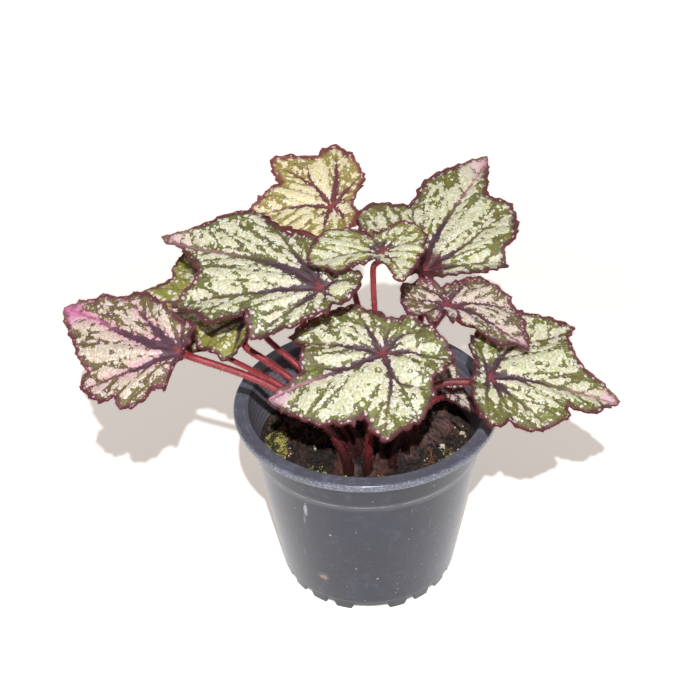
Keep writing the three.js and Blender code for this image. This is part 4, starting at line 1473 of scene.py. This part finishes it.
def build_rhizome():
    """One knobbly creeping stem with the rings of old leaf scars, and short stubs of roots."""
    dice = np.random.default_rng(12)
    lumps = np.array(RHIZOME, dtype=float)
    centres = lumps[:, :3]
    before = centres[0] - (centres[1] - centres[0]) * 0.85
    beyond = centres[-1] + (centres[-1] - centres[-2]) * 0.5
    path = smooth_path([before, *centres, beyond], 170)
    run = run_along(path)
    to_lump = np.linalg.norm(path[:, None] - centres, axis=2)
    weight = np.exp(-((to_lump / 6) ** 2))
    radius = (weight * lumps[:, 3]).sum(axis=1) / weight.sum(axis=1)
    ends = np.minimum(run, run[-1] - run)
    radius = radius * np.sqrt(np.clip(1 - (1 - ends / 7) * np.abs(1 - ends / 7) * (ends < 7), 0.02, 1))
    radius *= 1 - 0.1 * np.exp(-(((run % 5.2 - 2.6) / 0.5) ** 2)) + 0.05 * np.sin(run * 0.85)
    sides = 64
    points, faces = tube(path, radius, sides)
    bumps = rough(points, 0.22) * 1.2 + rough(points, 0.9, 3) * 0.5
    middles = np.repeat(path, sides, axis=0)
    points[: len(middles)] += unit(points[: len(middles)] - middles) * bumps[: len(middles), None]
    stem = Heap()
    # painted shade: the stem is darkest at its front end, below the front leaf, and paler towards its far end
    stem.add(points, faces, 0.05 + 0.45 * smoothstep(8, 30, points[:, 0]) + 0.8 * rough(points, 0.15, 3))
    for _ in range(ROOT_STUBS):
        start = path[dice.integers(12, len(path) - 12)] + [0, 0, 1]
        away = dice.uniform(0, 6.28)
        reach = np.array([math.cos(away), math.sin(away)])
        share = np.linspace(0, 1, 9)[:, None]
        ground = start[:2] + reach * (5 + 9 * share)
        height = start[2] + 5 - 9 * share[:, 0] ** 1.5
        thin = dice.uniform(0.3, 0.6)
        stem.add(*tube(np.column_stack([ground, height]), np.full(len(share), thin), 7), dice.uniform(0, 0.6))
    bark = mottled_material("bark", (22, 15, 14), (108, 76, 72), 420, 0.8, 0.9)
    stem.build("rhizome_stem", bark, "rhizome_bark", "rhizome")


SCALES = [
    dict(foot=(-13, -31), facing=-120, height=13, width=8),
    dict(foot=(6, -31), facing=-80, height=11, width=8),
    dict(foot=(22, -17), facing=-50, height=12, width=7),
    dict(foot=(30, -2), facing=30, height=10, width=7),
]


def build_scales():
    """Thin dry sheets, cupped round the stalks and frayed along their sides."""
    # their dark red-brown is partly their own colour and partly painted shade from the leaves above them
    paper = mottled_material("dry_scale", (48, 22, 22), (104, 60, 52), 260, 0.7, 0.4)
    levels, columns = 26, 13  # points up a sheet, and across each of its two faces
    ring = 2 * columns
    k = np.arange(1, columns - 1)
    lid = np.column_stack([k - 1, k, ring - 1 - k, ring - k])
    faces = [ring_faces(levels, ring), np.concatenate([lid[:, ::-1], lid + (levels - 1) * ring])]
    for number, scale in enumerate(SCALES):
        dice = np.random.default_rng(70 + number)
        facing = math.radians(scale["facing"])
        front = np.array([math.cos(facing), math.sin(facing), 0])
        side = np.array([-front[1], front[0], 0])
        foot = np.array([*scale["foot"], soil_height(*scale["foot"]) + 2])
        rows = []
        for up in np.linspace(-3.5, scale["height"], levels):
            share = max(0.0, up) / scale["height"]
            half = scale["width"] / 2 * math.sqrt(max(1 - share**1.6, 0.004)) * dice.uniform(0.93, 1.05)
            across = np.linspace(-half, half, columns)
            cup = -0.07 * across**2 - 0.25 * up + 0.5 * math.sin(1.3 * up + number) * across / 4
            sheet = foot + np.outer(across, side) + np.outer(cup, front) + [0, 0, 0.97 * up]
            rows.append(np.concatenate([sheet + 0.14 * front, sheet[::-1] - 0.14 * front]))
        points = np.concatenate(rows)
        leaflet = Heap()
        leaflet.add(points, faces, 0.5 + 0.6 * rough(points * [1, 1, 0.2], 1.5))
        name = "scale_" + str(number + 1)
        leaflet.build(name + "_sheet", paper, "dry_scale", name)


build_soil()
build_moss()
build_perlite()
build_rhizome()
build_scales()

# ---- the floor, the light and the camera ----
FLOOR_HALF_WIDTH = 3000
FLOOR_DROP = 0.05  # how far below the pot's feet it lies, so that the two don't touch
SKY_COLOUR = (1.0, 0.96, 0.92, 1.0)
SKY_STRENGTH = 0.38  # the even light from all round
# The shadows in the photograph spread away from the pot as those of a small lamp do that stands here.
LAMP_PLACE = (-1, -595, 734)
LAMP_RADIUS = 7
LAMP_WATTS = 40
CAMERA_ELEVATION = 35
CAMERA_DISTANCE = 600
CAMERA_ROLL = -1.5
CAMERA_AIM = (-6.6, 0, 119.8)
CAMERA_LENS = 70
CAMERA_SENSOR = 36

corners = [(x * FLOOR_HALF_WIDTH, y * FLOOR_HALF_WIDTH) for x, y in ((-1, -1), (1, -1), (1, 1), (-1, 1))]
floor_points = [(x, y, -FLOOR_DROP) for x, y in corners]
floor = add_mesh("floor", floor_points, [[(0, 1, 2, 3)]], [floor_material()])

world = bpy.data.worlds.new("studio")
world.use_nodes = True
sky = world.node_tree.nodes["Background"].inputs
sky["Color"].default_value = SKY_COLOUR
sky["Strength"].default_value = SKY_STRENGTH
bpy.context.scene.world = world

lamp = bpy.data.lights.new("key", "POINT")
lamp.shadow_soft_size = LAMP_RADIUS * MM
lamp.energy = LAMP_WATTS
key = bpy.data.objects.new("key", lamp)
key.location = Vector(place(LAMP_PLACE))
bpy.context.scene.collection.objects.link(key)

elevation, roll = math.radians(CAMERA_ELEVATION), math.radians(CAMERA_ROLL)
camera_back = Vector((0, -math.cos(elevation), math.sin(elevation)))
level_right = Vector((1, 0, 0))
level_up = camera_back.cross(level_right)
camera_right = level_right * math.cos(roll) + level_up * math.sin(roll)
camera_up = camera_back.cross(camera_right)
turned = Matrix((camera_right, camera_up, camera_back)).transposed().to_4x4()
camera_data = bpy.data.cameras.new("camera")
camera_data.sensor_width = CAMERA_SENSOR
camera_data.lens = CAMERA_LENS
camera = bpy.data.objects.new("camera", camera_data)
bpy.context.scene.collection.objects.link(camera)
position = Vector(place(CAMERA_AIM)) + camera_back * CAMERA_DISTANCE * MM
camera.matrix_world = Matrix.Translation(position) @ turned
bpy.context.scene.camera = camera
bpy.context.scene.view_settings.view_transform = "Standard"
